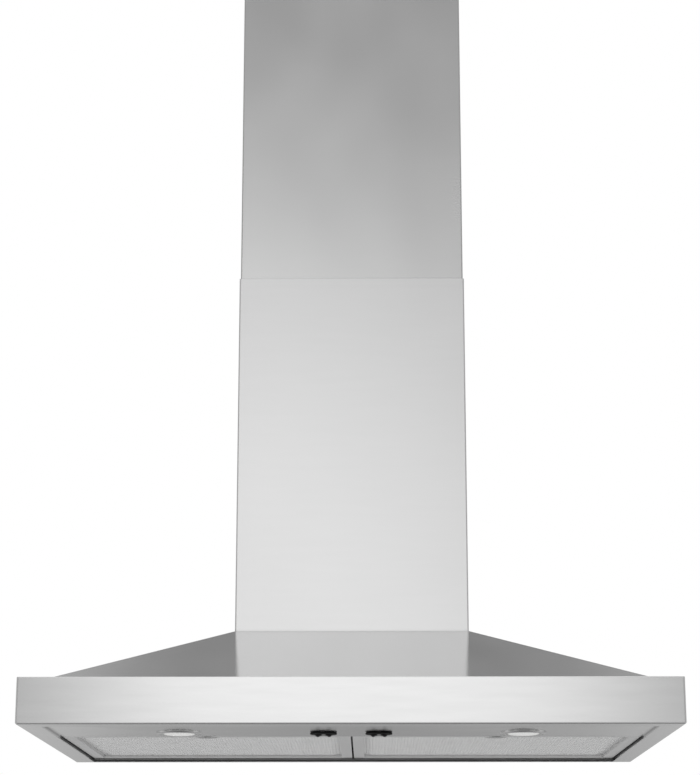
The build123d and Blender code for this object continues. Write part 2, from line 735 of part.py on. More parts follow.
with BuildPart() as scroll_wrap:
    extrude(volute(0), amount=SCROLL_W / 2, both=True)
    extrude(volute(PLATE), amount=SCROLL_W / 2 + CUT, both=True, mode=Mode.SUBTRACT)
save(scroll_wrap, "scroll_wrap")

INLET_R = 58.0
MOUTH_DEPTH = 5.0
for side, name in ((-1, "left"), (1, "right")):
    with BuildPart() as scroll_side:
        face = volute(0).moved(Location((side * SCROLL_W / 2, 0, 0)))
        extrude(face, amount=side * PLATE)
        plane = Plane.YZ.offset(side * (SCROLL_W / 2 + PLATE))
        depth = -side * (PLATE + MOUTH_DEPTH)
        rod(plane, (SHAFT_Y, SHAFT_Z), INLET_R + PLATE, depth)
        rod(plane, (SHAFT_Y, SHAFT_Z), INLET_R, 2 * depth, Mode.SUBTRACT)
        rod(plane, (SHAFT_Y, SHAFT_Z), INLET_R, -2 * depth, Mode.SUBTRACT)
    save(scroll_side, f"scroll_side_{name}")

# ---------------------------------------------------------------- impeller, shaft and motor
WHEEL_R = 70.0
WHEEL_IN_R = 58.0
WHEEL_HALF = 52.0
BLADES = 30
BLADE_T = 1.2
BLADE_LEAN = 35.0
DISC_X = -2.0
DISC_T = 2.0
RIM_T = 2.0
HUB_R = 10.0
HUB_L = 18.0
MOTOR_SHAFT_R = 4.0
MOTOR_R = 38.0
MOTOR_X = (20.0, 96.0)
MOTOR_ROUND = 4.0
MOTOR_BORE = 36.0  # how deep the shaft's bore runs into the motor
SHAFT_START = DISC_X - 4.0
SHAFT_L = 56.0
GLAND_STUB = (5.0, 10.0)  # radius and length of the motor's cable outlet
GLAND_OUT = 4.0  # its face, below the motor's wall
MOTOR_LEAD_X = 72.0
axis_point = (SHAFT_Y, SHAFT_Z)

with BuildPart() as impeller:
    rod(Plane.YZ.offset(DISC_X), axis_point, WHEEL_R, DISC_T)
    rod(Plane.YZ.offset(DISC_X), axis_point, HUB_R, HUB_L)
    with BuildSketch(Plane.YZ.offset(-WHEEL_HALF)):
        with Locations(axis_point):
            with PolarLocations((WHEEL_R + WHEEL_IN_R) / 2, BLADES):
                Rectangle(WHEEL_R - WHEEL_IN_R, BLADE_T, rotation=BLADE_LEAN)
    extrude(amount=2 * WHEEL_HALF)
    for end in (-WHEEL_HALF, WHEEL_HALF - RIM_T):
        with BuildSketch(Plane.YZ.offset(end)):
            with Locations(axis_point):
                Circle(WHEEL_R)
                Circle(WHEEL_IN_R, mode=Mode.SUBTRACT)
        extrude(amount=RIM_T)
    rod(Plane.YZ.offset(SHAFT_START), axis_point, MOTOR_SHAFT_R, SHAFT_L, Mode.SUBTRACT)
save(impeller, "impeller")

with BuildPart() as motor_shaft:
    rod(Plane.YZ.offset(SHAFT_START), axis_point, MOTOR_SHAFT_R, SHAFT_L)
save(motor_shaft, "motor_shaft")

with BuildPart() as motor:
    rod(Plane.YZ.offset(MOTOR_X[0]), axis_point, MOTOR_R, MOTOR_X[1] - MOTOR_X[0])
    fillet(motor.edges().filter_by(GeomType.CIRCLE), MOTOR_ROUND)
    rod(Plane.XY.offset(SHAFT_Z - MOTOR_R - GLAND_OUT), (MOTOR_LEAD_X, SHAFT_Y), *GLAND_STUB)
    rod(
        Plane.YZ.offset(MOTOR_X[0] - CUT),
        axis_point,
        MOTOR_SHAFT_R + RUNNING_GAP,
        MOTOR_BORE,
        Mode.SUBTRACT,
    )
save(motor, "motor")

BRACKET_X = 80.0
ARM_R = 70.0
ARM_W = 10.0
ARM_END = 4.0  # arm past the line of the isolators
BRACKET_SHEET = 3.0
CLAMP_W = 2.0  # band round the motor
FOOT_T = 8.0
ISOLATOR_H = 4.0
ISOLATOR_R = 6.0
side_face = SCROLL_W / 2 + PLATE
with BuildPart() as motor_bracket:
    with BuildSketch(Plane.YZ.offset(BRACKET_X)):
        with Locations(axis_point):
            Circle(MOTOR_R + CLAMP_W)
            with PolarLocations((MOTOR_R + ARM_R + ARM_END) / 2, 3, start_angle=90):
                Rectangle(ARM_R + ARM_END - MOTOR_R, ARM_W)
            Circle(MOTOR_R, mode=Mode.SUBTRACT)
    extrude(amount=BRACKET_SHEET)
    with BuildSketch(Plane.YZ.offset(side_face + ISOLATOR_H)):
        with Locations(axis_point):
            with PolarLocations(ARM_R, 3, start_angle=90):
                Rectangle(FOOT_T, ARM_W)
    extrude(amount=BRACKET_X + BRACKET_SHEET - side_face - ISOLATOR_H)
save(motor_bracket, "motor_bracket")

with BuildPart() as motor_isolators:
    with BuildSketch(Plane.YZ.offset(side_face)):
        with Locations(axis_point):
            with PolarLocations(ARM_R, 3, start_angle=90):
                Circle(ISOLATOR_R)
    extrude(amount=ISOLATOR_H)
save(motor_isolators, "motor_isolators")

CAPACITOR_R = 14.0
CAPACITOR_L = 46.0
CAPACITOR_Z = CANOPY_TOP + 185.0
CAPACITOR_ROUND = 1.5
CLIP_X = (16.0, 30.0)  # from the scroll's side
CLIP_T = 4.0
with BuildPart() as capacitor:
    rod(
        Plane.YZ.offset(side_face),
        (BOX_Y[1] - PLATE - CAPACITOR_R - 1, CAPACITOR_Z),
        CAPACITOR_R,
        CAPACITOR_L,
    )
    fillet(capacitor.edges().filter_by(GeomType.CIRCLE), CAPACITOR_ROUND)
    block(
        (side_face + CLIP_X[0], side_face + CLIP_X[1]),
        (BOX_Y[1] - PLATE - CAPACITOR_R, BOX_Y[1] - PLATE),
        (CAPACITOR_Z - CLIP_T / 2, CAPACITOR_Z + CLIP_T / 2),
    )
save(capacitor, "capacitor")

# ---------------------------------------------------------------- duct collar and damper
COLLAR_R = 75.0
COLLAR_WALL = 1.0
COLLAR_Y = -100.0
COLLAR_FLANGE_Y = (-142.0, -18.0)
COLLAR_FLANGE_X = 74.0
COLLAR_Z = (CANOPY_TOP + 300.0, CANOPY_TOP + 345.0)
AXLE_Z = COLLAR_Z[0] + 16.0
AXLE_R = 2.0
STOP_W = 2.5  # narrow ring inside the collar that the closed flaps rest on
STOP_Z = (AXLE_Z - 3.0, AXLE_Z - 1.0)
AXLE_END_GAP = 0.1
outlet_mid = (OUTLET_Y[0] + OUTLET_Y[1]) / 2
outlet_depth = OUTLET_Y[1] - OUTLET_Y[0]


def transition(skin, floor, roof):
    """Rectangle at the blower outlet changing to a circle at the collar."""
    with BuildPart() as duct:
        with BuildSketch(Plane.XY.offset(floor)):
            with Locations((0, outlet_mid)):
                Rectangle(SCROLL_W + 2 * skin, outlet_depth + 2 * skin)
        with BuildSketch(Plane.XY.offset(roof)):
            with Locations((0, COLLAR_Y)):
                Circle(COLLAR_R - COLLAR_WALL + skin)
        loft()
    return duct.part


duct_outer = transition(COLLAR_WALL, BOX_TOP, COLLAR_Z[0])
duct_inner = transition(0, BOX_TOP, COLLAR_Z[0])
with BuildPart() as duct_collar:
    add(duct_outer)
    rod(
        Plane.XY.offset(COLLAR_Z[0]), (0, COLLAR_Y), COLLAR_R, COLLAR_Z[1] - COLLAR_Z[0]
    )
    block(
        (-COLLAR_FLANGE_X, COLLAR_FLANGE_X), COLLAR_FLANGE_Y, (BOX_TOP, BOX_TOP + PLATE)
    )
    add(duct_inner, mode=Mode.SUBTRACT)
    rod(
        Plane.XY.offset(COLLAR_Z[0]),
        (0, COLLAR_Y),
        COLLAR_R - COLLAR_WALL,
        COLLAR_Z[1] - COLLAR_Z[0] + CUT,
        Mode.SUBTRACT,
    )
    with BuildSketch(Plane.XY.offset(STOP_Z[0])):
        with Locations((0, COLLAR_Y)):
            Circle(COLLAR_R - COLLAR_WALL)
            Circle(COLLAR_R - COLLAR_WALL - STOP_W, mode=Mode.SUBTRACT)
    extrude(amount=STOP_Z[1] - STOP_Z[0])
    rod(
        Plane.YZ.offset(-COLLAR_R - CUT),
        (COLLAR_Y, AXLE_Z),
        AXLE_R,
        2 * (COLLAR_R + CUT),
        Mode.SUBTRACT,
    )
    for centre in COLLAR_SCREWS:
        rod(Plane.XY.offset(BOX_TOP - CUT), centre, SCREW_R, 2 * CUT, Mode.SUBTRACT)
save(duct_collar, "duct_collar")

with BuildPart() as damper_axle:
    axle_half = COLLAR_R - AXLE_END_GAP
    rod(Plane.YZ.offset(-axle_half), (COLLAR_Y, AXLE_Z), AXLE_R, 2 * axle_half)
save(damper_axle, "damper_axle")

FLAP_R = 72.8
FLAP_T = 0.8
FLAP_INNER = 3.8
KNUCKLE_R = 3.3
KNUCKLE_L = 12.0
KNUCKLE_WEB = (3.6, 2.0)  # the strip that joins a knuckle to its flap: centre line and width
for side, name, knuckle_starts in (
    (-1, "front", (-44, 16)),
    (1, "rear", (-28, 32)),
):
    with BuildPart() as damper_flap:
        with BuildSketch(Plane.XY.offset(AXLE_Z - FLAP_T / 2)):
            with Locations((0, COLLAR_Y)):
                Circle(FLAP_R)
            with Locations((0, COLLAR_Y - side * (FLAP_R - FLAP_INNER))):
                Rectangle(3 * FLAP_R, 2 * FLAP_R, mode=Mode.SUBTRACT)
            for start in knuckle_starts:
                with Locations((start + KNUCKLE_L / 2, COLLAR_Y + side * KNUCKLE_WEB[0])):
                    Rectangle(KNUCKLE_L, KNUCKLE_WEB[1])
        extrude(amount=FLAP_T)
        for start in knuckle_starts:
            rod(Plane.YZ.offset(start), (COLLAR_Y, AXLE_Z), KNUCKLE_R, KNUCKLE_L)
        rod(
            Plane.YZ.offset(-FLAP_R),
            (COLLAR_Y, AXLE_Z),
            AXLE_R + RUNNING_GAP,
            2 * FLAP_R,
            Mode.SUBTRACT,
        )
    save(damper_flap, f"damper_flap_{name}")

# ---------------------------------------------------------------- flues
RETURN_W = 20.0  # flange that turns in along the wall
SLIDE_CLEAR = SHEET + FLUE_GAP


def flue_section(half_width, front, rear):
    """Level section of a flue: front and two sides, with a return flange at each rear edge."""
    middle = -(front + rear) / 2
    depth = front - rear
    with BuildSketch() as section:
        with Locations((0, middle)):
            RectangleRounded(2 * half_width, depth, FLUE_BEND_R)
            RectangleRounded(
                2 * (half_width - SHEET),
                depth - 2 * SHEET,
                FLUE_BEND_R - SHEET,
                mode=Mode.SUBTRACT,
            )
        with Locations((0, -rear)):
            Rectangle(2 * (half_width - RETURN_W), 4 * SHEET, mode=Mode.SUBTRACT)
    return section.sketch


with BuildPart() as lower_flue:
    extrude(
        flue_section(FLUE_X, FLUE_D, 0).moved(Location((0, 0, CANOPY_TOP))), amount=LOWER_FLUE_H
    )
    for side in (-1, 1):
        rod(
            Plane.YZ.offset(side * (FLUE_X + CUT)),
            (FLUE_SCREW_Y, FLUE_SCREW_Z),
            SCREW_R,
            -side * 2 * CUT,
            Mode.SUBTRACT,
        )
save(lower_flue, "lower_flue")

UPPER_X = FLUE_X - SLIDE_CLEAR
TOP_SCREW_Y = -60.0
TOP_SCREW_Z = HOOD_TOP - 20.0
with BuildPart() as upper_flue:
    extrude(
        flue_section(UPPER_X, FLUE_D - SLIDE_CLEAR, SLIDE_CLEAR).moved(
            Location((0, 0, UPPER_FLUE_BOTTOM))
        ),
        amount=UPPER_FLUE_H,
    )
    for side in (-1, 1):
        rod(
            Plane.YZ.offset(side * (UPPER_X + CUT)),
            (TOP_SCREW_Y, TOP_SCREW_Z),
            SCREW_R,
            -side * 2 * CUT,
            Mode.SUBTRACT,
        )
save(upper_flue, "upper_flue")

# Wall bracket: a plate on the wall with an arm round each return flange; each arm ends in a tab
# with a slot that is open below, which hooks over the flue's screw.
BRACKET_PLATE_X = 120.0
BRACKET_Z = (HOOD_TOP - 45.0, HOOD_TOP - 5.0)
BRACKET_T = 1.5
BRACKET_HOLE_R = 3.0
BRACKET_HOLE_DX = 180.0
TAB_Y = -90.0
TAB_CLEAR = 0.5
STEP_Y = -8.0
HOOK_GAP = 0.4
with BuildPart() as upper_flue_bracket:
    block((-BRACKET_PLATE_X, BRACKET_PLATE_X), (-BRACKET_T, 0), BRACKET_Z)
    for side in (-1, 1):
        tab_x = side * (UPPER_X - SHEET - TAB_CLEAR)
        arm_x = side * BRACKET_PLATE_X
        block((arm_x, arm_x - side * BRACKET_T), (STEP_Y, 0), BRACKET_Z)
        block((arm_x - side * BRACKET_T, tab_x), (STEP_Y, STEP_Y + BRACKET_T), BRACKET_Z)
        block((tab_x, tab_x - side * BRACKET_T), (TAB_Y, STEP_Y + BRACKET_T), BRACKET_Z)
        slot_r = SCREW_R + HOOK_GAP
        rod(
            Plane.YZ.offset(tab_x + side * CUT),
            (TOP_SCREW_Y, TOP_SCREW_Z),
            slot_r,
            -side * 3 * CUT,
            Mode.SUBTRACT,
        )
        block(
            (tab_x + side * CUT, tab_x - side * 2 * CUT),
            (TOP_SCREW_Y - slot_r, TOP_SCREW_Y + slot_r),
            (BRACKET_Z[0] - CUT, TOP_SCREW_Z),
            Mode.SUBTRACT,
        )
        rod(
            Plane.XZ.offset(-CUT),
            (side * BRACKET_HOLE_DX / 2, (BRACKET_Z[0] + BRACKET_Z[1]) / 2),
            BRACKET_HOLE_R,
            3 * CUT,
            Mode.SUBTRACT,
        )
save(upper_flue_bracket, "upper_flue_bracket")

# ---------------------------------------------------------------- wiring box
WIRE_BOX_X = (150.0, 230.0)
WIRE_BOX_Y = (-46.0, -PLATE)
WIRE_BOX_Z = (BASE_Z + 28.0, BASE_Z + 92.0)
LEAD_R = 2.5
MOTOR_LEAD_EXIT = (WIRE_BOX_X[0], -30.0, BASE_Z + 76.0)
SWITCH_LEAD_EXIT = (WIRE_BOX_X[0], -30.0, BASE_Z + 42.0)
COVER_SCREWS = [(158.0, BASE_Z + 60.0), (222.0, BASE_Z + 60.0)]
SCREW_PAD = 7.0  # half the side of the pads that take the cover's screws
SCREW_PAD_T = 2.0
with BuildPart() as wiring_box:
    block(WIRE_BOX_X, WIRE_BOX_Y, WIRE_BOX_Z)
    block(
        (WIRE_BOX_X[0] + PLATE, WIRE_BOX_X[1] - PLATE),
        (WIRE_BOX_Y[0] - CUT, WIRE_BOX_Y[1] - PLATE),
        (WIRE_BOX_Z[0] + PLATE, WIRE_BOX_Z[1] - PLATE),
        Mode.SUBTRACT,
    )
    for x, z in COVER_SCREWS:
        block(
            (x - SCREW_PAD, x + SCREW_PAD),
            (WIRE_BOX_Y[0], WIRE_BOX_Y[0] + SCREW_PAD_T),
            (z - SCREW_PAD, z + SCREW_PAD),
        )
        rod(
            Plane.XZ.offset(-WIRE_BOX_Y[0] - SCREW_PAD_T - CUT),
            (x, z),
            SCREW_R,
            SCREW_PAD_T + 2 * CUT,
            Mode.SUBTRACT,
        )
    rod(Plane.XZ, (GLAND_X, GLAND_Z), GLAND_R, 2 * PLATE + CUT, Mode.SUBTRACT)
    for _, exit_y, exit_z in (MOTOR_LEAD_EXIT, SWITCH_LEAD_EXIT):
        rod(
            Plane.YZ.offset(WIRE_BOX_X[0] - CUT),
            (exit_y, exit_z),
            LEAD_R,
            PLATE + CUT,
            Mode.SUBTRACT,
        )
save(wiring_box, "wiring_box")

with BuildPart() as wiring_box_cover:
    block(WIRE_BOX_X, (WIRE_BOX_Y[0] - PLATE, WIRE_BOX_Y[0]), WIRE_BOX_Z)
    fillet(wiring_box_cover.edges().filter_by(Axis.Y), 2)
    for x, z in COVER_SCREWS:
        rod(Plane.XZ.offset(-WIRE_BOX_Y[0] - CUT), (x, z), SCREW_R, PLATE + 2 * CUT, Mode.SUBTRACT)
save(wiring_box_cover, "wiring_box_cover")

with BuildPart() as cover_screws:
    for centre in COVER_SCREWS:
        pan_screw(Plane.XZ.offset(-WIRE_BOX_Y[0] + PLATE), centre, 6)
save(cover_screws, "cover_screws")

TERMINAL_X = (170.0, 212.0)
TERMINAL_Z = (BASE_Z + 64.0, BASE_Z + 84.0)
TERMINAL_D = 16.0
TERMINAL_PITCH = 10.0
TERMINAL_GROOVE = (6.0, 4.0)  # width and depth between two ways
TERMINAL_WAYS = 4
with BuildPart() as terminal_block:
    rear = WIRE_BOX_Y[1] - PLATE
    block(TERMINAL_X, (rear - TERMINAL_D, rear), TERMINAL_Z)
    for step in range(TERMINAL_WAYS):
        groove_x = TERMINAL_X[0] + 3 + TERMINAL_PITCH * step
        block(
            (groove_x, groove_x + TERMINAL_GROOVE[0]),
            (rear - TERMINAL_D - CUT, rear - TERMINAL_D + TERMINAL_GROOVE[1]),
            (TERMINAL_Z[0] - CUT, TERMINAL_Z[1] + CUT),
            Mode.SUBTRACT,
        )
save(terminal_block, "terminal_block")

GLAND_BORE_R = 5.0
GLAND_L = 14.0
GLAND_NUT = (4.0, 3.0)  # how far the nut stands out from the gland, and its thickness
with BuildPart() as cable_gland:
    rod(Plane.XZ, (GLAND_X, GLAND_Z), GLAND_R, GLAND_L)
    rod(Plane.XZ.offset(2 * PLATE), (GLAND_X, GLAND_Z), GLAND_R + GLAND_NUT[0], GLAND_NUT[1])
    rod(Plane.XZ.offset(-CUT), (GLAND_X, GLAND_Z), GLAND_BORE_R, GLAND_L + 2 * CUT, Mode.SUBTRACT)
save(cable_gland, "cable_gland")


# ---------------------------------------------------------------- leads
def lead(name, *points):
    """A round lead along straight runs joined by arcs as large as the runs allow."""
    route = [Vector(*point) for point in points]
    radii = []
    for before, corner, after in zip(route, route[1:], route[2:]):
        first = corner - before
        second = after - corner
        turn = math.radians(first.get_angle(second))
        radii.append(0.45 * min(first.length, second.length) / math.tan(turn / 2))
    print(name, "bend radii", [round(radius) for radius in radii])
    with BuildPart() as cable:
        with BuildLine():
            path = FilletPolyline(*route, radius=radii)
        with BuildSketch(Plane(origin=path @ 0, z_dir=path % 0)):
            Circle(LEAD_R)
        sweep(path=path)
    save(cable, name)


lead(
    "motor_lead",
    MOTOR_LEAD_EXIT,
    (134, -30, BASE_Z + 76),
    (104, -42, BASE_Z + 84),
    (80, -84, BASE_Z + 104),
    (70, -138, BASE_Z + 140),
    (MOTOR_LEAD_X, SHAFT_Y, SHAFT_Z - MOTOR_R - 28),
    (MOTOR_LEAD_X, SHAFT_Y, SHAFT_Z - MOTOR_R - GLAND_OUT),
)
lead(
    "switch_lead",
    SWITCH_LEAD_EXIT,
    (134, -30, BASE_Z + 42),
    (100, -35, BASE_Z + 38),
    (58, -56, BASE_Z + 29),
    (24, -110, BASE_Z + 22),
    (16, -200, BASE_Z + 21),
    (20, -290, BASE_Z + 22),
    (30, -328, BASE_Z + 20),
    (KNOB_X, CONTROL_Y + SWITCH_SIZE / 2 + 12, BASE_Z + 16),
    (KNOB_X, CONTROL_Y + SWITCH_SIZE / 2, BASE_Z + 16),
)
for side, name in ((-1, "left"), (1, "right")):
    lead(
        f"lamp_lead_{name}",
        (side * (LAMP_X - SOCKET_R), CONTROL_Y, CAN_TOP + 4.5),
        (side * 182, CONTROL_Y, CAN_TOP + 4.5),
        (side * 160, CONTROL_Y - 4, CAN_TOP),
        (side * 124, CONTROL_Y - 10, BASE_Z + 30),
        (side * 88, CONTROL_Y - 6, BASE_Z + 18),
        (side * 64, CONTROL_Y, BASE_Z + 15),
        (side * (KNOB_X + SWITCH_SIZE / 2), CONTROL_Y, BASE_Z + 15),
    )

# ---------------------------------------------------------------- screws
with BuildPart() as blower_screws:
    for centre in BOX_SCREWS:
        pan_screw(Plane.XY.offset(CANOPY_TOP + PLATE), centre, 8)
    for centre in COLLAR_SCREWS:
        pan_screw(Plane.XY.offset(BOX_TOP + PLATE), centre, 8)
save(blower_screws, "blower_screws")

with BuildPart() as flue_screws:
    pan_screw(Plane.YZ.offset(FLUE_X), (FLUE_SCREW_Y, FLUE_SCREW_Z), 3)
    mirror(about=Plane.YZ)
save(flue_screws, "flue_screws")

with BuildPart() as upper_flue_screws:
    pan_screw(Plane.YZ.offset(UPPER_X), (TOP_SCREW_Y, TOP_SCREW_Z), 7)
    mirror(about=Plane.YZ)
save(upper_flue_screws, "upper_flue_screws")
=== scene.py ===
import json
import math

import bpy
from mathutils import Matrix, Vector

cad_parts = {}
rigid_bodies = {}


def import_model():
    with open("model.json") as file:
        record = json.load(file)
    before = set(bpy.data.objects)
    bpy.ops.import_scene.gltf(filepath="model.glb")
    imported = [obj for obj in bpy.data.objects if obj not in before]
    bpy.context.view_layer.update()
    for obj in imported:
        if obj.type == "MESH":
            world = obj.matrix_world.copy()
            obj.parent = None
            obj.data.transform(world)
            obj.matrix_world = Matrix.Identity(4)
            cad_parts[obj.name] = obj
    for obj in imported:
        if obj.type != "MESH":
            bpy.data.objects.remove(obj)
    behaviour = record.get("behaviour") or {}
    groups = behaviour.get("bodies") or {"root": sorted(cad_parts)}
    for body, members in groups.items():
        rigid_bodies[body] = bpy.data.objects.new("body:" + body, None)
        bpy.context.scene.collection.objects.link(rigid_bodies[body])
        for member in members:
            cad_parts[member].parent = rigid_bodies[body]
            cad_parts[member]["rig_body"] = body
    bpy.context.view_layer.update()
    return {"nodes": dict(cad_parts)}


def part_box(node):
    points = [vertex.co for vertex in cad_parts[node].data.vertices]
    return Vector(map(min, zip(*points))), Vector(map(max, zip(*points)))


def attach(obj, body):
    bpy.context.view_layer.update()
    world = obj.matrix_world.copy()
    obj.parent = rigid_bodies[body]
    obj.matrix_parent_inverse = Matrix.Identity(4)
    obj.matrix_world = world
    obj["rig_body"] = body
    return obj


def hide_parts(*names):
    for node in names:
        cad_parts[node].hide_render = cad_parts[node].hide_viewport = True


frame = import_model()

# ---------------------------------------------------------------- camera
# The photograph's view: a long lens in front of the hood, a little below its lower edge, looking
# slightly up. The small shift keeps the cropped flue at the top of the picture.
PHOTO_H = 775
FOCAL_PX = 2040.2
SENSOR = 36.0
CAMERA_AT = (0.0186, -2.8156, -0.3147)
CAMERA_TILT = 13.96  # degrees upwards
CAMERA_TURN = 0.47  # degrees to the left
CAMERA_SHIFT = 0.062
bpy.ops.object.camera_add(
    location=CAMERA_AT,
    rotation=(math.radians(90 + CAMERA_TILT), 0, math.radians(CAMERA_TURN)),
)
camera = bpy.context.object
camera.data.sensor_width = SENSOR
camera.data.lens = SENSOR * FOCAL_PX / PHOTO_H
camera.data.shift_y = CAMERA_SHIFT
bpy.context.scene.camera = camera
bpy.context.scene.view_settings.view_transform = "Standard"

# ---------------------------------------------------------------- studio
# White background, a large soft box in front of the hood, a soft key lamp above it on the left,
# and a pale floor. Polished faces mirror a room whose level changes with height and direction.


def put(tree, kind, inputs=None, **settings):
    """A shader node with its options set and its inputs filled with values or linked sockets."""
    new = tree.nodes.new(kind)
    for name, value in settings.items():
        setattr(new, name, value)
    for key, value in (inputs or {}).items():
        if isinstance(value, bpy.types.NodeSocket):
            tree.links.new(value, new.inputs[key])
        else:
            new.inputs[key].default_value = value
    return new


def maths(tree, operation, *values, clamp=False):
    """The output of one maths node."""
    inputs = dict(enumerate(values))
    return put(tree, "ShaderNodeMath", inputs, operation=operation, use_clamp=clamp).outputs[0]


def ramp(tree, factor, *stops):
    """Grey levels along a factor, given as (place, level) from 0 to 1."""
    new = put(tree, "ShaderNodeValToRGB", {"Fac": factor})
    elements = new.color_ramp.elements
    while len(elements) < len(stops):
        elements.new(0.5)
    for element, (place, level) in zip(elements, stops):
        element.position = place
        element.color = (level, level, level, 1)
    return new.outputs["Color"]


def blend_of(tree, factor, first, second):
    """The first colour or level at factor 0, and the second at 1."""
    mix = put(tree, "ShaderNodeMix", {"Factor": factor}, data_type="RGBA")
    for key, value in ((6, first), (7, second)):
        if isinstance(value, bpy.types.NodeSocket):
            tree.links.new(value, mix.inputs[key])
        else:
            level = value if isinstance(value, tuple) else (value, value, value)
            mix.inputs[key].default_value = (*level, 1)
    return mix.outputs[2]


ROOM_FILL = 0.72  # level that dull surfaces see
SIDE_LEVEL = 0.8  # level behind the hood, far to the sides
# Levels in mirrored directions, as (0 for straight down to 1 for straight up, level).
FRONT_STOPS = [(0.0, 0.2), (0.09, 0.2), (0.2, 0.6), (0.5, 0.48), (0.62, 0.5), (0.72, 0.17)]
FRONT_STOPS += [(0.78, 0.2), (0.86, 0.95)]
REAR_STOPS = [(0.0, 0.2), (0.09, 0.2), (0.2, 0.55), (0.46, 0.28), (0.6, 0.28), (0.7, 0.13)]
REAR_STOPS += [(0.84, 0.11), (0.97, 1.0)]
# How far a direction behind the hood takes the side level, by how much it points sideways.
ASIDE_STOPS = [(0.0, 0.03), (0.03, 0.07), (0.11, 0.17), (0.16, 0.42), (0.5, 0.6)]
# Bright and dark strips round the lower half of the room, from straight ahead (0) to behind (1).
STRIP_STOPS = [(0.09, 1.0), (0.17, 0.65), (0.26, 1.45), (0.36, 0.7), (0.44, 0.55), (0.5, 0.8)]
STRIP_STOPS += [(0.58, 1.5), (0.68, 0.65), (0.82, 0.7), (0.92, 1.0)]
STRIPS_TOP = 3.7 / 6  # height at which the strips have faded away
STRIPS_FADE = 1 / 6  # stretch of height over which they fade
world = bpy.data.worlds.new("studio")
bpy.context.scene.world = world
world.use_nodes = True
tree = world.node_tree
tree.nodes.clear()
rays = put(tree, "ShaderNodeLightPath").outputs
heading = put(tree, "ShaderNodeTexCoord").outputs["Generated"]
x, y, z = put(tree, "ShaderNodeSeparateXYZ", {0: heading}).outputs
height = maths(tree, "MULTIPLY_ADD", z, 0.5, 0.5)
front = ramp(tree, height, *FRONT_STOPS)
rear = ramp(tree, height, *REAR_STOPS)
sideways = maths(tree, "ABSOLUTE", x)
aside = ramp(tree, sideways, *ASIDE_STOPS)
behind = maths(tree, "MULTIPLY_ADD", y, 2.0, 0.5, clamp=True)
room = blend_of(tree, behind, front, blend_of(tree, aside, rear, SIDE_LEVEL))
round_about = maths(tree, "ARCTAN2", sideways, maths(tree, "MULTIPLY", y, -1.0))
strips = ramp(tree, maths(tree, "DIVIDE", round_about, math.pi), *STRIP_STOPS)
below_top = maths(tree, "SUBTRACT", STRIPS_TOP, height)
low_share = maths(tree, "DIVIDE", below_top, STRIPS_FADE, clamp=True)
strips = blend_of(tree, low_share, 1.0, strips)
room = put(tree, "ShaderNodeVectorMath", {0: room, 1: strips}, operation="MULTIPLY").outputs[0]
seen = blend_of(tree, rays["Is Glossy Ray"], ROOM_FILL, room)
direct = maths(tree, "MAXIMUM", rays["Is Camera Ray"], rays["Is Transmission Ray"])
sky = put(tree, "ShaderNodeBackground", {"Color": blend_of(tree, direct, seen, 1.0), "Strength": 1})
put(tree, "ShaderNodeOutputWorld", {"Surface": sky.outputs[0]})

SOFTBOX_Y = -2.0
SOFTBOX_W = 1.53
SOFTBOX_Z = (-0.75, 1.54)
SOFTBOX_LEVEL = 1.18
SOFTBOX_SLANT = 1.6  # how much its upper part dims to the right
SOFT_SIDES = 0.34  # shares of the width and the height over which its edges fade
SOFT_ENDS = 0.38


def edge_fade(tree, coordinate, half, soft):
    """1 inside, falling to 0 at half on both sides of the middle, over the soft stretch."""
    inside = maths(tree, "SUBTRACT", half, maths(tree, "ABSOLUTE", coordinate))
    share = maths(tree, "DIVIDE", inside, soft, clamp=True)
    return put(tree, "ShaderNodeMapRange", {0: share}, interpolation_type="SMOOTHSTEP").outputs[0]


bpy.ops.mesh.primitive_plane_add(
    size=1,
    location=(0, SOFTBOX_Y, sum(SOFTBOX_Z) / 2),
    rotation=(math.radians(-90), 0, 0),
)
softbox = bpy.context.object
softbox.name = "softbox"
softbox.scale = (SOFTBOX_W, SOFTBOX_Z[1] - SOFTBOX_Z[0], 1)
softbox.visible_camera = False
softbox.visible_transmission = False
softbox.visible_shadow = False
glow = bpy.data.materials.new("softbox_glow")
glow.use_nodes = True
tree = glow.node_tree
tree.nodes.clear()
place = put(tree, "ShaderNodeTexCoord").outputs["Object"]
across, down, _ = put(tree, "ShaderNodeSeparateXYZ", {0: place}).outputs
sides = edge_fade(tree, across, 0.5, SOFT_SIDES)
mask = maths(tree, "MULTIPLY", sides, edge_fade(tree, down, 0.5, SOFT_ENDS))
# From 0 a little below the middle to 1 near the top.
upper_share = maths(tree, "MULTIPLY_ADD", down, -2.5, 0.15, clamp=True)
slant = maths(tree, "MULTIPLY", maths(tree, "MULTIPLY", across, upper_share), SOFTBOX_SLANT)
level = maths(tree, "MULTIPLY", maths(tree, "SUBTRACT", 1.0, slant), SOFTBOX_LEVEL)
lit = put(tree, "ShaderNodeEmission", {"Color": (1, 1, 1, 1), "Strength": level})
clear = put(tree, "ShaderNodeBsdfTransparent")
cover = put(tree, "ShaderNodeMixShader", {0: mask, 1: clear.outputs[0], 2: lit.outputs[0]})
put(tree, "ShaderNodeOutputMaterial", {"Surface": cover.outputs[0]})
softbox.data.materials.append(glow)

KEY_AT = (-1.5, -2.2, 2.4)
KEY_AIM = Vector((0, -0.2, 0.3))
KEY_SIZE = 1.8
KEY_POWER = 26
bpy.ops.object.light_add(type="AREA", location=KEY_AT)
key = bpy.context.object
key.data.size = KEY_SIZE
key.data.energy = KEY_POWER
key.visible_glossy = False
key.rotation_euler = (KEY_AIM - key.location).to_track_quat("-Z", "Y").to_euler()

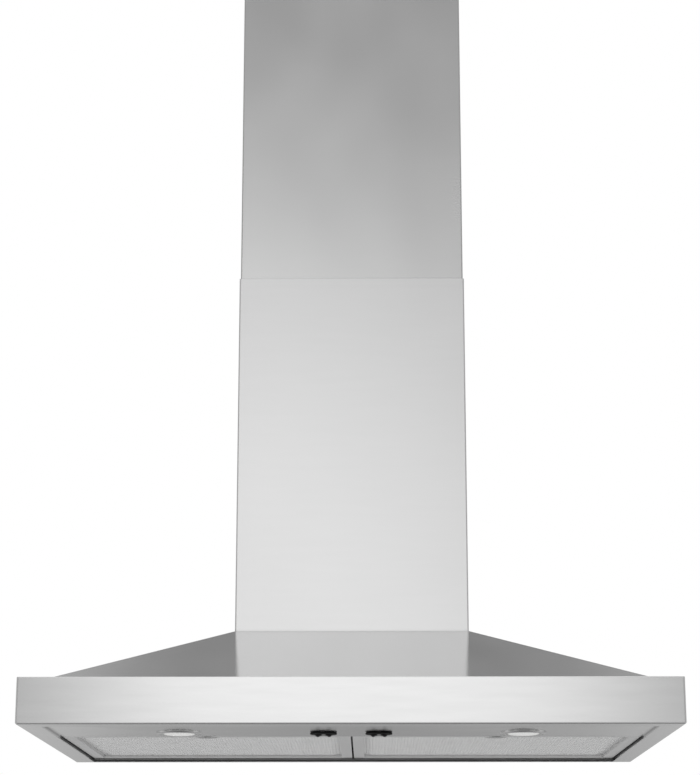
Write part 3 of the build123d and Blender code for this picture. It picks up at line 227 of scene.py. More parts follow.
FLOOR_Z = -1.7
FLOOR_R = 6.0
FLOOR_TONE = (0.86, 0.86, 0.86, 1)
bpy.ops.mesh.primitive_circle_add(
    vertices=96, radius=FLOOR_R, fill_type="NGON", location=(0, 0, FLOOR_Z)
)
floor = bpy.context.object
floor.name = "floor"
floor.visible_glossy = False
paper = bpy.data.materials.new("floor_paper")
paper.use_nodes = True
tree = paper.node_tree
tree.nodes.clear()
place = put(tree, "ShaderNodeTexCoord").outputs["Object"]
reach = put(tree, "ShaderNodeVectorMath", {0: place}, operation="LENGTH").outputs["Value"]
# The paper fades out towards its rim, and is clear from below.
mask = ramp(tree, maths(tree, "DIVIDE", reach, FLOOR_R), (0.0, 1.0), (0.3, 0.9), (0.95, 0.0))
from_below = put(tree, "ShaderNodeNewGeometry").outputs["Backfacing"]
mask = maths(tree, "MULTIPLY", mask, maths(tree, "SUBTRACT", 1.0, from_below))
pale = put(tree, "ShaderNodeBsdfDiffuse", {"Color": FLOOR_TONE})
clear = put(tree, "ShaderNodeBsdfTransparent")
cover = put(tree, "ShaderNodeMixShader", {0: mask, 1: clear.outputs[0], 2: pale.outputs[0]})
put(tree, "ShaderNodeOutputMaterial", {"Surface": cover.outputs[0]})
floor.data.materials.append(paper)

# ---------------------------------------------------------------- stainless shells
# Fascia band, canopy, both flue covers and the control panel: 1 mm stainless sheet, folded and
# brushed along its length. The band's ledge and lips are mitred at the front corners.
nodes = frame["nodes"]
band_low, band_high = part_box("fascia_band")
STEEL_TONE = 0.78
HAIR = (9.0, 2600.0, 3.0)  # marks per metre along the grain, marks per metre across it, octaves
STREAK = (12.0, 110.0, 2.0)
CLOUD = (9.0, 5.0, 1.0)
# Inner corners of the steel are darkened by painted shade.
PAINTED_SHADE_REACH = 0.004  # how far the shade of an inner corner reaches
SAG_DEPTH = 0.00005  # of the slight waves in the sheet


def new_finish(name):
    """A material with its node tree and its Principled shader."""
    material = bpy.data.materials.new(name)
    material.use_nodes = True
    return material, material.node_tree, material.node_tree.nodes["Principled BSDF"]


def noise(tree, vector, scale, detail=2.0):
    """Level of a noise texture, about 0.5 on average."""
    inputs = {"Vector": vector, "Scale": scale, "Detail": detail}
    return put(tree, "ShaderNodeTexNoise", inputs).outputs[0]


def stretched(tree, first, second, third=0.0):
    """A pattern's coordinates from three levels."""
    return put(tree, "ShaderNodeCombineXYZ", {0: first, 1: second, 2: third}).outputs[0]


def around(tree, level, middle, spread):
    """A level that varies by the spread on both sides of the middle, from a noise."""
    return put(
        tree,
        "ShaderNodeMapRange",
        {0: level, 1: 0.3, 2: 0.7, 3: middle - spread, 4: middle + spread},
    ).outputs[0]


def bump(tree, shader, height, depth, strength=1.0):
    """Fine relief of the given depth in metres."""
    relief = put(tree, "ShaderNodeBump", {"Height": height, "Distance": depth, "Strength": strength})
    tree.links.new(relief.outputs[0], shader.inputs["Normal"])


def brushed_steel(
    name, tone, roughness, mitred=False, painted_shade_depth=0.35, painted_shade_from=-1.0, smears=0.004
):
    """Sheet brushed along its length: level on upright faces, along the fold on ledges and lips.

    Painted shade darkens inner corners by the given depth, further out sideways than the given start.
    """
    material, tree, shader = new_finish(name)
    source = put(tree, "ShaderNodeTexCoord").outputs
    px, py, _ = put(tree, "ShaderNodeSeparateXYZ", {0: source["Object"]}).outputs
    size = put(tree, "ShaderNodeVectorMath", {0: source["Normal"]}, operation="ABSOLUTE")
    nx, ny, nz = put(tree, "ShaderNodeSeparateXYZ", {0: size.outputs[0]}).outputs
    sideways = maths(tree, "GREATER_THAN", nx, ny)
    if mitred:
        # Past the mitre line through each front corner, ledges and lips belong to the sides.
        corner = maths(tree, "ADD", maths(tree, "ABSOLUTE", px), py)
        side_zone = maths(tree, "GREATER_THAN", corner, band_high.x + band_low.y)
        level_face = maths(tree, "GREATER_THAN", nz, 0.7)
        spare = maths(tree, "SUBTRACT", side_zone, sideways)
        sideways = maths(tree, "MULTIPLY_ADD", level_face, spare, sideways)
    grain = stretched(tree, maths(tree, "SUBTRACT", 1.0, sideways), sideways)
    across = put(
        tree, "ShaderNodeVectorMath", {0: source["Normal"], 1: grain}, operation="CROSS_PRODUCT"
    )
    u, v = [
        put(
            tree, "ShaderNodeVectorMath", {0: source["Object"], 1: way}, operation="DOT_PRODUCT"
        ).outputs[1]
        for way in (grain, across.outputs[0])
    ]

    def marks(along, over, detail):
        """Noise stretched along the grain."""
        lines = stretched(
            tree, maths(tree, "MULTIPLY", u, along), maths(tree, "MULTIPLY", v, over), sideways
        )
        return noise(tree, lines, 1.0, detail)

    hair = marks(*HAIR)
    streak = marks(*STREAK)
    cloud = marks(*CLOUD)
    shade = maths(tree, "ADD", around(tree, hair, tone, 0.003), around(tree, streak, 0.0, smears))
    shade = maths(tree, "ADD", shade, around(tree, cloud, 0.0, 0.012))
    # Painted shade: an ambient occlusion reading darkens the base colour in inner corners.
    painted_corner_shade = put(tree, "ShaderNodeAmbientOcclusion", {"Distance": PAINTED_SHADE_REACH}, samples=8)
    outer = maths(tree, "GREATER_THAN", maths(tree, "ABSOLUTE", px), painted_shade_from)
    depth = maths(tree, "MULTIPLY", outer, painted_shade_depth)
    shade = maths(tree, "MULTIPLY", shade, maths(tree, "POWER", painted_corner_shade.outputs["AO"], depth))
    tree.links.new(stretched(tree, shade, shade, shade), shader.inputs["Base Color"])
    rub = maths(tree, "ADD", around(tree, hair, roughness, 0.004), around(tree, cloud, 0.0, 0.015))
    tree.links.new(rub, shader.inputs["Roughness"])
    turned = put(
        tree,
        "ShaderNodeVectorTransform",
        {0: across.outputs[0]},
        vector_type="VECTOR",
        convert_from="OBJECT",
        convert_to="WORLD",
    )
    tree.links.new(turned.outputs[0], shader.inputs["Tangent"])
    shader.inputs["Metallic"].default_value = 1.0
    shader.inputs["Anisotropic"].default_value = 0.8
    bump(tree, shader, noise(tree, source["Object"], 3.0, 0.0), SAG_DEPTH)
    return material


def give(material, *names):
    """Put a finish on CAD nodes."""
    for name in names:
        for slot in nodes[name].material_slots:
            slot.material = material


band_steel = brushed_steel("band_steel", STEEL_TONE, 0.24, mitred=True, smears=0.014)
sheet_steel = brushed_steel("sheet_steel", STEEL_TONE, 0.33)
upper_steel = brushed_steel("upper_steel", STEEL_TONE * 0.94, 0.26)
# The canopy's slopes take the same steel made 14% lighter: painted light.
slope_steel_painted_lighter = brushed_steel("slope_steel_painted_lighter", STEEL_TONE * 1.14, 0.17)
# The panel's end walls get deep painted shade in their inner corners.
panel_steel = brushed_steel("panel_steel", STEEL_TONE, 0.16, painted_shade_depth=1.2, painted_shade_from=0.3)
give(band_steel, "fascia_band")
give(slope_steel_painted_lighter, "canopy_shell")
give(sheet_steel, "lower_flue")
give(upper_steel, "upper_flue")
give(panel_steel, "control_panel")

# ---------------------------------------------------------------- galvanised sheet
# Back panel, blower housing, duct collar, dampers and boxes: zinc coated sheet with its flower of
# frozen crystals, dull where it has been handled.


def galvanised(name, tone, spangle):
    """Zinc coated sheet with crystals of about the given size in metres."""
    material, tree, shader = new_finish(name)
    place = put(tree, "ShaderNodeTexCoord").outputs["Object"]
    drift = put(tree, "ShaderNodeTexNoise", {"Vector": place, "Scale": 2.2 / spangle, "Detail": 2.0})
    shaken = put(
        tree,
        "ShaderNodeVectorMath",
        {0: drift.outputs[1], 1: (spangle * 0.7,) * 3, 2: place},
        operation="MULTIPLY_ADD",
    ).outputs[0]
    crystal = put(tree, "ShaderNodeTexVoronoi", {"Vector": shaken, "Scale": 1 / spangle})
    lot = put(tree, "ShaderNodeSeparateColor", {0: crystal.outputs["Color"]}).outputs
    dust = noise(tree, place, 9.0, 3.0)
    shade = maths(tree, "MULTIPLY_ADD", lot[0], 0.1, tone - 0.05)
    shade = maths(tree, "ADD", shade, around(tree, dust, 0.0, 0.025))
    cool = maths(tree, "MULTIPLY", shade, 1.025)
    tree.links.new(stretched(tree, shade, shade, cool), shader.inputs["Base Color"])
    rub = maths(tree, "MULTIPLY_ADD", lot[1], 0.16, 0.3)
    tree.links.new(maths(tree, "ADD", rub, around(tree, dust, 0.0, 0.05)), shader.inputs["Roughness"])
    shader.inputs["Metallic"].default_value = 1.0
    bump(tree, shader, maths(tree, "ADD", lot[2], noise(tree, place, 500.0)), 0.00003, 0.5)
    return material


SPANGLE = 0.011
zinc_sheet = galvanised("zinc_sheet", 0.66, SPANGLE)
give(
    zinc_sheet,
    "back_panel", "blower_box", "scroll_wrap", "scroll_side_left", "scroll_side_right", "impeller",
    "motor_bracket", "duct_collar", "damper_flap_front", "damper_flap_rear", "upper_flue_bracket",
    "wiring_box", "wiring_box_cover", "lamp_housing_left", "lamp_housing_right",
)

# ---------------------------------------------------------------- rails
# Folded steel strips round the filters. The side rails and the centre rail above the joint of the
# filters are black, as painted shade for the shadowed gaps round the filters. The rear rail, which
# carries the filters' back edges, is coated grey; a black band along its lower edge is painted shade.


def moulded(name, colour, roughness, grain, depth, spread, metal=0.0):
    """Plain finish with a fine grain, and a little wear from handling in its gloss and tone."""
    material, tree, shader = new_finish(name)
    place = put(tree, "ShaderNodeTexCoord").outputs["Object"]
    dust = noise(tree, place, 45.0, 4.0)
    fine = noise(tree, place, grain, 2.0)
    levels = [around(tree, dust, level, level * spread) for level in colour]
    tree.links.new(stretched(tree, *levels), shader.inputs["Base Color"])
    rub = maths(tree, "ADD", around(tree, dust, roughness, 0.04), around(tree, fine, 0.0, 0.02))
    tree.links.new(rub, shader.inputs["Roughness"])
    shader.inputs["Metallic"].default_value = metal
    bump(tree, shader, fine, depth)
    return material


# This black is painted shade: it stands for the shadowed gaps round the filters.
RAIL_SHADE_BLACK = (0.032, 0.032, 0.033)
SHADE_STRIP_H = 0.0022
black_rail_shade = moulded("black_rail_shade", RAIL_SHADE_BLACK, 0.42, grain=1400.0, depth=0.00003, spread=0.25)
give(black_rail_shade, "side_rail_left", "side_rail_right", "centre_rail")
rear_coat_and_shade = moulded("rear_coat_and_shade", (0.26, 0.26, 0.26), 0.45, grain=1400.0, depth=0.00003, spread=0.1)
# The band along the rear rail's lower edge is painted shade, in the same black, for the shadowed rear
# of the filter opening.
tree = rear_coat_and_shade.node_tree
shader = tree.nodes["Principled BSDF"]
paint = shader.inputs["Base Color"].links[0].from_socket
place = put(tree, "ShaderNodeTexCoord").outputs["Object"]
up = put(tree, "ShaderNodeSeparateXYZ", {0: place}).outputs[2]
above = maths(tree, "GREATER_THAN", up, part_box("rear_rail")[0].z + SHADE_STRIP_H)
tree.links.new(blend_of(tree, above, RAIL_SHADE_BLACK, paint), shader.inputs["Base Color"])
give(rear_coat_and_shade, "rear_rail")

# ---------------------------------------------------------------- grease filter frames
# Each frame is a channel folded from satin aluminium sheet, with a hem that holds the mesh and a
# drawn finger cup at the front. Its folds are rounded.
FOLD_R = 0.0003


def copy_of(source, name):
    """A copy of an object with its own mesh."""
    copy = bpy.data.objects.new(name, source.data.copy())
    bpy.context.collection.objects.link(copy)
    return copy


def only(piece):
    """Make the piece the one selected object."""
    bpy.ops.object.select_all(action="DESELECT")
    piece.select_set(True)
    bpy.context.view_layer.objects.active = piece


def apply_modifier(piece, kind, **settings):
    """Add a modifier with its settings and apply it."""
    only(piece)
    extra = piece.modifiers.new(kind.lower(), kind)
    for name, value in settings.items():
        setattr(extra, name, value)
    bpy.ops.object.modifier_apply(modifier=extra.name)


def smooth(piece, degrees=35):
    """Smooth shading across all edges that turn less than the angle."""
    only(piece)
    bpy.ops.object.shade_smooth_by_angle(angle=math.radians(degrees))


def takes_over(piece, finish, node):
    """The piece shows in place of a CAD node: it moves with the node's body and takes the given
    finish.
    """
    piece.data.materials.clear()
    piece.data.materials.append(finish)
    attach(piece, nodes[node]["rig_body"])
    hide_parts(node)


def softened(node, name, width, finish):
    """A copy of a CAD node with its sharp edges rounded off, in that node's place."""
    copy = copy_of(nodes[node], name)
    only(copy)
    bpy.ops.mesh.customdata_custom_splitnormals_clear()
    bpy.ops.object.mode_set(mode="EDIT")
    bpy.ops.mesh.select_all(action="SELECT")
    bpy.ops.mesh.remove_doubles(threshold=0.000002)
    bpy.ops.mesh.dissolve_limited(angle_limit=math.radians(0.5))
    bpy.ops.object.mode_set(mode="OBJECT")
    apply_modifier(
        copy,
        "BEVEL",
        width=width,
        segments=2,
        limit_method="ANGLE",
        angle_limit=math.radians(50),
        use_clamp_overlap=True,
    )
    smooth(copy)
    takes_over(copy, finish, node)
    return copy


satin_aluminium = moulded(
    "satin_aluminium", (0.62, 0.62, 0.62), 0.45, grain=1800.0, depth=0.00002, spread=0.03, metal=0.45
)
for side in ("left", "right"):
    softened(f"filter_frame_{side}", f"folded_frame_{side}", FOLD_R, satin_aluminium)

# ---------------------------------------------------------------- expanded mesh
# The filters' packs: a fine sheet of expanded aluminium below, a corrugated core, and a coarse
# sheet above, crimped together by a strip round the edge. The strands zigzag, and every second row
# is set over by half a diamond.
FINE_STRANDS = ((0.008, 0.004), 0.0018, 0.0003)  # diamond's length and width, strand, thickness
FINE_UP = 0.0005  # its level above the pack's lower face
COARSE_STRANDS = ((0.02, 0.01), 0.0024, 0.0004)
COARSE_DOWN = 0.0006  # its level below the pack's upper face
STRAND_RISE = 0.0005
CORE_GAP = 0.0014  # from the core to the pack's faces
CORE_PITCH = 0.012
CORE_T = 0.0003
CUP_CLEARANCE = 0.0158  # radius left free round the finger cup
CORE_CLEARANCE = CUP_CLEARANCE + 0.004
CUP_BACK = 0.003  # the cup's middle lies this far in front of the bolt's rear end
UNDER_FRAME = 0.0132  # the margin that the frame covers
STRIP_T = 0.0007
STRIP_SHOWS = 0.001  # how far the strip reaches out from under the frame
PILLOW_RUN = 0.012  # width of the slope round the bulge
PILLOW_DEPTH = 0.002


def pillow(sheet, low, high):
    """Let the sheet bulge down through the frame's opening, and leave its margin flat."""
    for point in sheet.data.vertices:
        share = 1.0
        for axis in (0, 1):
            edge = min(point.co[axis] - low[axis], high[axis] - point.co[axis])
            rise = min(max((edge - UNDER_FRAME) / PILLOW_RUN, 0), 1)
            share *= rise * rise * (3 - 2 * rise)
        point.co.z -= PILLOW_DEPTH * share


def cup_hole(sheet, cup, radius):
    """Leave out the faces round the finger cup."""
    only(sheet)
    bpy.ops.object.mode_set(mode="EDIT")
    bpy.ops.mesh.select_all(action="DESELECT")
    bpy.ops.mesh.select_mode(type="FACE")
    bpy.ops.object.mode_set(mode="OBJECT")
    for face in sheet.data.polygons:
        face.select = (face.center.xy - cup.xy).length < radius
    bpy.ops.object.mode_set(mode="EDIT")
    bpy.ops.mesh.delete(type="FACE")
    bpy.ops.object.mode_set(mode="OBJECT")


def strand_sheet(name, low, high, level, diamond, strand, thickness, cup):
    """Expanded metal between two corners: diamonds of the given length and width."""
    waves = int((high.x - low.x) / diamond[0] - 0.5)
    rows = int((high.y - low.y) / diamond[1] - 0.5)
    length = (high.x - low.x) / (waves + 0.5)
    width = (high.y - low.y) / (rows + 0.5)
    bpy.ops.object.select_all(action="DESELECT")
    bpy.ops.mesh.primitive_grid_add(x_subdivisions=2, y_subdivisions=1, size=1)
    sheet = bpy.context.object
    sheet.name = name
    sheet.scale = (length, strand, 1)
    sheet.location = (low.x + length / 2, low.y, level - STRAND_RISE / 2)
    bpy.ops.object.transform_apply(location=True, rotation=False, scale=True)
    middle = low.x + length / 2
    bpy.ops.object.mode_set(mode="EDIT")
    bpy.ops.mesh.select_all(action="DESELECT")
    bpy.ops.object.mode_set(mode="OBJECT")
    for point in sheet.data.vertices:
        point.select = abs(point.co.x - middle) < length / 8
    bpy.ops.object.mode_set(mode="EDIT")
    bpy.ops.transform.translate(value=(0, width / 2, STRAND_RISE))
    bpy.ops.object.mode_set(mode="OBJECT")
    for count, step, merge in (
        (waves, (length, 0, 0), True),  # one zigzag row
        (2, (length / 2, width / 2, 0), False),  # the row beside it, set over
        (rows, (0, width, 0), False),  # all the pairs of rows
    ):
        apply_modifier(
            sheet,
            "ARRAY",
            count=count,
            use_relative_offset=False,
            use_constant_offset=True,
            constant_offset_displace=step,
            use_merge_vertices=merge,
            merge_threshold=0.00001,
        )
    cup_hole(sheet, cup, CUP_CLEARANCE)
    apply_modifier(sheet, "SOLIDIFY", thickness=thickness, offset=0)
    return sheet


def core_sheet(name, low, high, cup):
    """The corrugated sheet between the two meshes, with its waves running from front to back."""
    swing = (high.z - low.z) / 2 - CORE_GAP
    steps = 4 * round((high.x - low.x) / CORE_PITCH)
    bpy.ops.object.select_all(action="DESELECT")
    bpy.ops.mesh.primitive_grid_add(x_subdivisions=steps, y_subdivisions=40, size=1)
    core = bpy.context.object
    core.name = name
    core.scale = (high.x - low.x, high.y - low.y, 1)
    core.location = (low + high) / 2
    bpy.ops.object.transform_apply(location=True, rotation=False, scale=True)
    for point in core.data.vertices:
        point.co.z += swing * math.cos(2 * math.pi * (point.co.x - low.x) / CORE_PITCH)
    cup_hole(core, cup, CORE_CLEARANCE)
    apply_modifier(core, "SOLIDIFY", thickness=CORE_T, offset=0)
    return core


def edge_strip(name, low, high):
    """The crimped strip round the pack, which shows a little inside the frame."""
    bpy.ops.object.select_all(action="DESELECT")
    bpy.ops.mesh.primitive_plane_add(size=1)
    strip = bpy.context.object
    strip.name = name
    strip.scale = (high.x - low.x, high.y - low.y, 1)
    strip.location = ((low.x + high.x) / 2, (low.y + high.y) / 2, low.z + STRIP_T / 2)
    bpy.ops.object.transform_apply(location=True, rotation=False, scale=True)
    bpy.ops.object.mode_set(mode="EDIT")
    bpy.ops.mesh.select_mode(type="FACE")
    bpy.ops.mesh.select_all(action="SELECT")
    bpy.ops.mesh.inset(thickness=UNDER_FRAME + STRIP_SHOWS)
    bpy.ops.mesh.delete(type="FACE")
    bpy.ops.object.mode_set(mode="OBJECT")
    apply_modifier(strip, "SOLIDIFY", thickness=STRIP_T, offset=0)
    return strip


mesh_aluminium = moulded(
    "mesh_aluminium", (0.83, 0.83, 0.83), 0.42, grain=2500.0, depth=0.00001, spread=0.03, metal=0.35
)
for side in ("left", "right"):
    low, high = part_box(f"filter_mesh_{side}")
    bolt_low, bolt_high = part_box(f"latch_{side}")
    cup = Vector(((bolt_low.x + bolt_high.x) / 2, bolt_high.y - CUP_BACK, 0))
    fine = strand_sheet(f"expanded_mesh_{side}", low, high, low.z + FINE_UP, *FINE_STRANDS, cup)
    pillow(fine, low, high)
    top = high.z - COARSE_DOWN
    coarse = strand_sheet(f"cover_mesh_{side}", low, high, top, *COARSE_STRANDS, cup)
    core = core_sheet(f"core_sheet_{side}", low, high, cup)
    strip = edge_strip(f"edge_strip_{side}", low, high)
    only(fine)
    for layer in (coarse, core, strip):
        layer.select_set(True)
    bpy.ops.object.join()
    takes_over(fine, mesh_aluminium, f"filter_mesh_{side}")

# ---------------------------------------------------------------- latches
# Spring latch of each filter: a flat steel bolt with a thumb tab that hangs in the finger cup. Its
# zinc plating is dark and dull.
BOLT_EDGE = 0.0003
dull_zinc = moulded(
    "dull_zinc", (0.2, 0.2, 0.2), 0.42, grain=1500.0, depth=0.00001, spread=0.1, metal=1.0
)
for side in ("left", "right"):
    softened(f"latch_{side}", f"latch_bolt_{side}", BOLT_EDGE, dull_zinc)

# ---------------------------------------------------------------- control knobs
# Two black moulded knobs: a thin skirt close under the panel, and a low grip that a concave groove
# splits into two ridges. A raised mark on the skirt shows the setting.
NECK_H = 0.0105  # height of a lamp ring's neck above the panel's face
panel_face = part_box("lamp_ring_left")[1].z - NECK_H


def turned(name, outline, sides):
    """A turned shape about the Z axis, from (radius, height) points. A last radius of 0 closes it."""
    bpy.ops.object.select_all(action="DESELECT")
    (radius, height), *rest = outline
    bpy.ops.mesh.primitive_circle_add(vertices=sides, radius=radius, location=(0, 0, height))
    shape = bpy.context.object
    shape.name = name
    bpy.ops.object.transform_apply(location=True, rotation=False, scale=False)
    bpy.ops.object.mode_set(mode="EDIT")
    bpy.ops.mesh.select_all(action="SELECT")
    for new_radius, new_height in rest:
        bpy.ops.mesh.extrude_edges_move(
            TRANSFORM_OT_translate={"value": (0, 0, new_height - height)}
        )
        if new_radius == 0:
            bpy.ops.mesh.merge(type="CENTER")
            break
        factor = new_radius / radius
        bpy.ops.transform.resize(value=(factor, factor, 1), center_override=(0, 0, new_height))
        radius, height = new_radius, new_height
    bpy.ops.mesh.select_all(action="SELECT")
    bpy.ops.mesh.remove_doubles(threshold=0.000001)
    bpy.ops.mesh.select_mode(type="VERT")
    bpy.ops.mesh.select_all(action="DESELECT")
    bpy.ops.mesh.select_non_manifold()
    bpy.ops.mesh.edge_face_add()
    bpy.ops.mesh.select_all(action="SELECT")
    bpy.ops.mesh.normals_make_consistent(inside=False)
    bpy.ops.object.mode_set(mode="OBJECT")
    return shape


def carve(piece, cutter):
    """Take the cutter's shape out of the piece, and delete the cutter."""
    apply_modifier(piece, "BOOLEAN", operation="DIFFERENCE", object=cutter, solver="EXACT")
    bpy.data.objects.remove(cutter)


def placed(piece, location, rotation=(0, 0, 0)):
    """Turn and move the piece's mesh, and leave its object at the origin."""
    only(piece)
    piece.rotation_euler = rotation
    piece.location = location
    bpy.ops.object.transform_apply(location=True, rotation=True, scale=True)
    return piece


KNOB_OUTLINE = [
    (0.009, -0.0005), (0.0157, -0.0005), (0.016, -0.0008), (0.016, -0.0021), (0.0158, -0.0024),
    (0.0154, -0.0025), (0.0114, -0.0026), (0.0105, -0.0029), (0.009, -0.0046), (0.0083, -0.0051),
]
GROOVE_R = 0.0095
GROOVE_DEPTH = 0.0023
GROOVE_RUN = 0.05  # the cutter passes both sides of the knob
MARK_AT = (0, -0.0134, -0.00245)
MARK_SIZE = (0.0009, 0.003, 0.0005)
KNOB_EDGE = 0.00015
black_plastic = moulded(
    "black_plastic", (0.009, 0.009, 0.009), 0.55, grain=1600.0, depth=0.000015, spread=0.3
)
black_plastic.node_tree.nodes["Principled BSDF"].inputs["Specular IOR Level"].default_value = 0.05
master = turned("knob_master", KNOB_OUTLINE, 96)
bpy.ops.object.select_all(action="DESELECT")
bpy.ops.mesh.primitive_cylinder_add(
    vertices=64,
    radius=GROOVE_R,
    depth=GROOVE_RUN,
    location=(0, 0, KNOB_OUTLINE[-1][1] + GROOVE_DEPTH - GROOVE_R),
    rotation=(math.radians(90), 0, 0),
)
carve(master, bpy.context.object)
bpy.ops.object.select_all(action="DESELECT")
bpy.ops.mesh.primitive_cube_add(size=1, location=MARK_AT)
mark = bpy.context.object
mark.scale = MARK_SIZE
bpy.ops.object.transform_apply(location=True, rotation=False, scale=True)
apply_modifier(mark, "BEVEL", width=KNOB_EDGE, segments=2)
only(master)
mark.select_set(True)
bpy.ops.object.join()
corner = math.radians(40)
apply_modifier(
    master, "BEVEL", width=KNOB_EDGE, segments=2, limit_method="ANGLE", angle_limit=corner
)
smooth(master, 50)
for name in ("light", "fan"):
    low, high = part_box(f"{name}_knob")
    middle = (low + high) / 2
    knob = copy_of(master, f"{name}_knob_moulding")
    placed(knob, (middle.x, middle.y, panel_face))
    takes_over(knob, black_plastic, f"{name}_knob")
bpy.data.objects.remove(master)

# ---------------------------------------------------------------- lamps
# A turned ring in satin chrome holds a frosted lens with fine concentric ribs. Behind it, a reflector
# bulb sits in a ceramic socket in the galvanised can.
RING_OUTLINE = [
    (0.021, 0.0), (0.021, -0.0016), (0.0213, -0.0022), (0.022, -0.0026), (0.0236, -0.0027),
    (0.0254, -0.0024), (0.0268, -0.0018), (0.0277, -0.0009), (0.028, 0.0), (0.0248, 0.0),
    (0.0248, NECK_H), (0.0232, NECK_H), (0.0232, 0.0), (0.021, 0.0),
]
LENS_R = 0.023
LENS_T = 0.003
DOME_R = 0.0207
DOME_H = 0.0031
DOME_POWER = 8  # a flat middle that turns up steeply inside the ring
RIB_PITCH = 0.0023
RIB_H = 0.00012
RIB_STEPS = 54
chrome = moulded(
    "chrome", (0.6, 0.6, 0.6), 0.26, grain=300.0, depth=0.000002, spread=0.02, metal=1.0
)


def frosted(name, colour, roughness, clearness, glow):
    """Glass that scatters: a white body that lets part of the light through, with a faint painted
    glow.
    """
    material, tree, shader = new_finish(name)
    place = put(tree, "ShaderNodeTexCoord").outputs["Object"]
    fine = noise(tree, place, 1500.0, 2.0)
    shader.inputs["Base Color"].default_value = (*colour, 1)
    tree.links.new(around(tree, fine, roughness, 0.05), shader.inputs["Roughness"])
    shader.inputs["Transmission Weight"].default_value = clearness
    shader.inputs["IOR"].default_value = 1.5
    shader.inputs["Emission Color"].default_value = (1, 1, 1, 1)
    shader.inputs["Emission Strength"].default_value = glow
    bump(tree, shader, fine, 0.00002)
    return material


# The lens's faint glow is painted light; its bulb gives none.
lens_frost = frosted("lens_frost", (0.95, 0.95, 0.94), 0.4, clearness=0.05, glow=0.06)
bulb_frost = frosted("bulb_frost", (0.9, 0.9, 0.88), 0.12, clearness=0.6, glow=0.0)
white_ceramic = moulded(
    "white_ceramic", (0.8, 0.79, 0.75), 0.25, grain=700.0, depth=0.00001, spread=0.03
)
lens_outline = [(LENS_R, LENS_T), (LENS_R, 0.0), (DOME_R, 0.0)]
for step in range(1, RIB_STEPS):
    radius = DOME_R * (1 - step / RIB_STEPS)
    rib = RIB_H * math.cos(2 * math.pi * radius / RIB_PITCH)
    lens_outline.append((radius, -DOME_H * (1 - (radius / DOME_R) ** DOME_POWER) - rib))
lens_outline.append((0, -DOME_H))
ring_master = turned("ring_master", RING_OUTLINE, 96)
lens_master = turned("lens_master", lens_outline, 96)
smooth(ring_master, 40)
smooth(lens_master, 40)
for side in ("left", "right"):
    low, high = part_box(f"lamp_ring_{side}")
    middle = (low + high) / 2
    ring = copy_of(ring_master, f"trim_ring_{side}")
    placed(ring, (middle.x, middle.y, panel_face))
    takes_over(ring, chrome, f"lamp_ring_{side}")
    lens = copy_of(lens_master, f"ribbed_lens_{side}")
    placed(lens, (middle.x, middle.y, panel_face))
    takes_over(lens, lens_frost, f"lamp_lens_{side}")
    give(bulb_frost, f"lamp_bulb_{side}")
    give(white_ceramic, f"lamp_socket_{side}")
bpy.data.objects.remove(ring_master)
bpy.data.objects.remove(lens_master)

# ---------------------------------------------------------------- screws
# Zinc plated M4 pan-head screws with a cross recess. One is modelled, then copied to every screw
# of the blower, the wiring box and the flues.
HEAD_H = 0.0024
SCREW_OUTLINE = [(0.0014, -0.003), (0.002, -0.0024), (0.002, 0.0), (0.0036, 0.0), (0.004, 0.0004)]
SCREW_OUTLINE += [(0.004, 0.0011), (0.0037, 0.0018), (0.003, 0.0022), (0.0018, HEAD_H), (0, HEAD_H)]
RECESS_Z = 0.0022
RECESS_SIZE = (0.0036, 0.0007, 0.002)
SCREW_EDGE = 0.00008
bright_zinc = moulded(
    "bright_zinc", (0.62, 0.62, 0.6), 0.3, grain=1500.0, depth=0.00001, spread=0.06, metal=1.0
)
master = turned("screw_master", SCREW_OUTLINE, 32)
for turn in (0, 90):
    bpy.ops.object.select_all(action="DESELECT")
    bpy.ops.mesh.primitive_cube_add(
        size=1, location=(0, 0, RECESS_Z), rotation=(0, 0, math.radians(turn))
    )
    bpy.context.object.scale = RECESS_SIZE
    bpy.ops.object.transform_apply(location=True, rotation=True, scale=True)
    carve(master, bpy.context.object)
corner = math.radians(50)
apply_modifier(
    master, "BEVEL", width=SCREW_EDGE, segments=1, limit_method="ANGLE", angle_limit=corner
)
smooth(master, 40)


def screw_boxes(node):
    """Low and high corner of each separate screw of a CAD node, at rest."""
    probe = copy_of(nodes[node], "probe")
    only(probe)
    bpy.ops.object.mode_set(mode="EDIT")
    bpy.ops.mesh.select_all(action="SELECT")
    bpy.ops.mesh.remove_doubles(threshold=0.000002)
    bpy.ops.mesh.separate(type="LOOSE")
    bpy.ops.object.mode_set(mode="OBJECT")
    boxes = []
    for screw in list(bpy.context.selected_objects):
        points = [point.co for point in screw.data.vertices]
        low = Vector([min(point[axis] for point in points) for axis in range(3)])
        high = Vector([max(point[axis] for point in points) for axis in range(3)])
        boxes.append((low, high))
        bpy.data.objects.remove(screw)
    return boxes


def screw_set(node, heading=None):
    """Copies of the screw in place of a CAD node's screws: heads to the heading, or outwards."""
    copies = []
    for count, (low, high) in enumerate(screw_boxes(node)):
        seat = (low + high) / 2
        way = heading or ("X" if seat.x > 0 else "-X")
        axis = "XYZ".index(way[-1])
        aim = Vector((0, 0, 0))
        if way[0] == "-":
            aim[axis] = -1
            seat[axis] = low[axis] + HEAD_H
        else:
            aim[axis] = 1
            seat[axis] = high[axis] - HEAD_H
        turn = aim.to_track_quat("Z", "Y").to_euler()
        copies.append(placed(copy_of(master, f"{node}_{count}"), seat, turn))
    only(copies[0])
    for copy in copies[1:]:
        copy.select_set(True)
    bpy.ops.object.join()
    joined = bpy.context.object
    joined.name = f"{node}_cross_head"
    takes_over(joined, bright_zinc, node)


screw_set("blower_screws", "Z")
screw_set("cover_screws", "-Y")
screw_set("flue_screws")
screw_set("upper_flue_screws")
bpy.data.objects.remove(master)
give(bright_zinc, "switch_nuts", "light_shaft", "fan_shaft", "motor_shaft", "damper_axle")

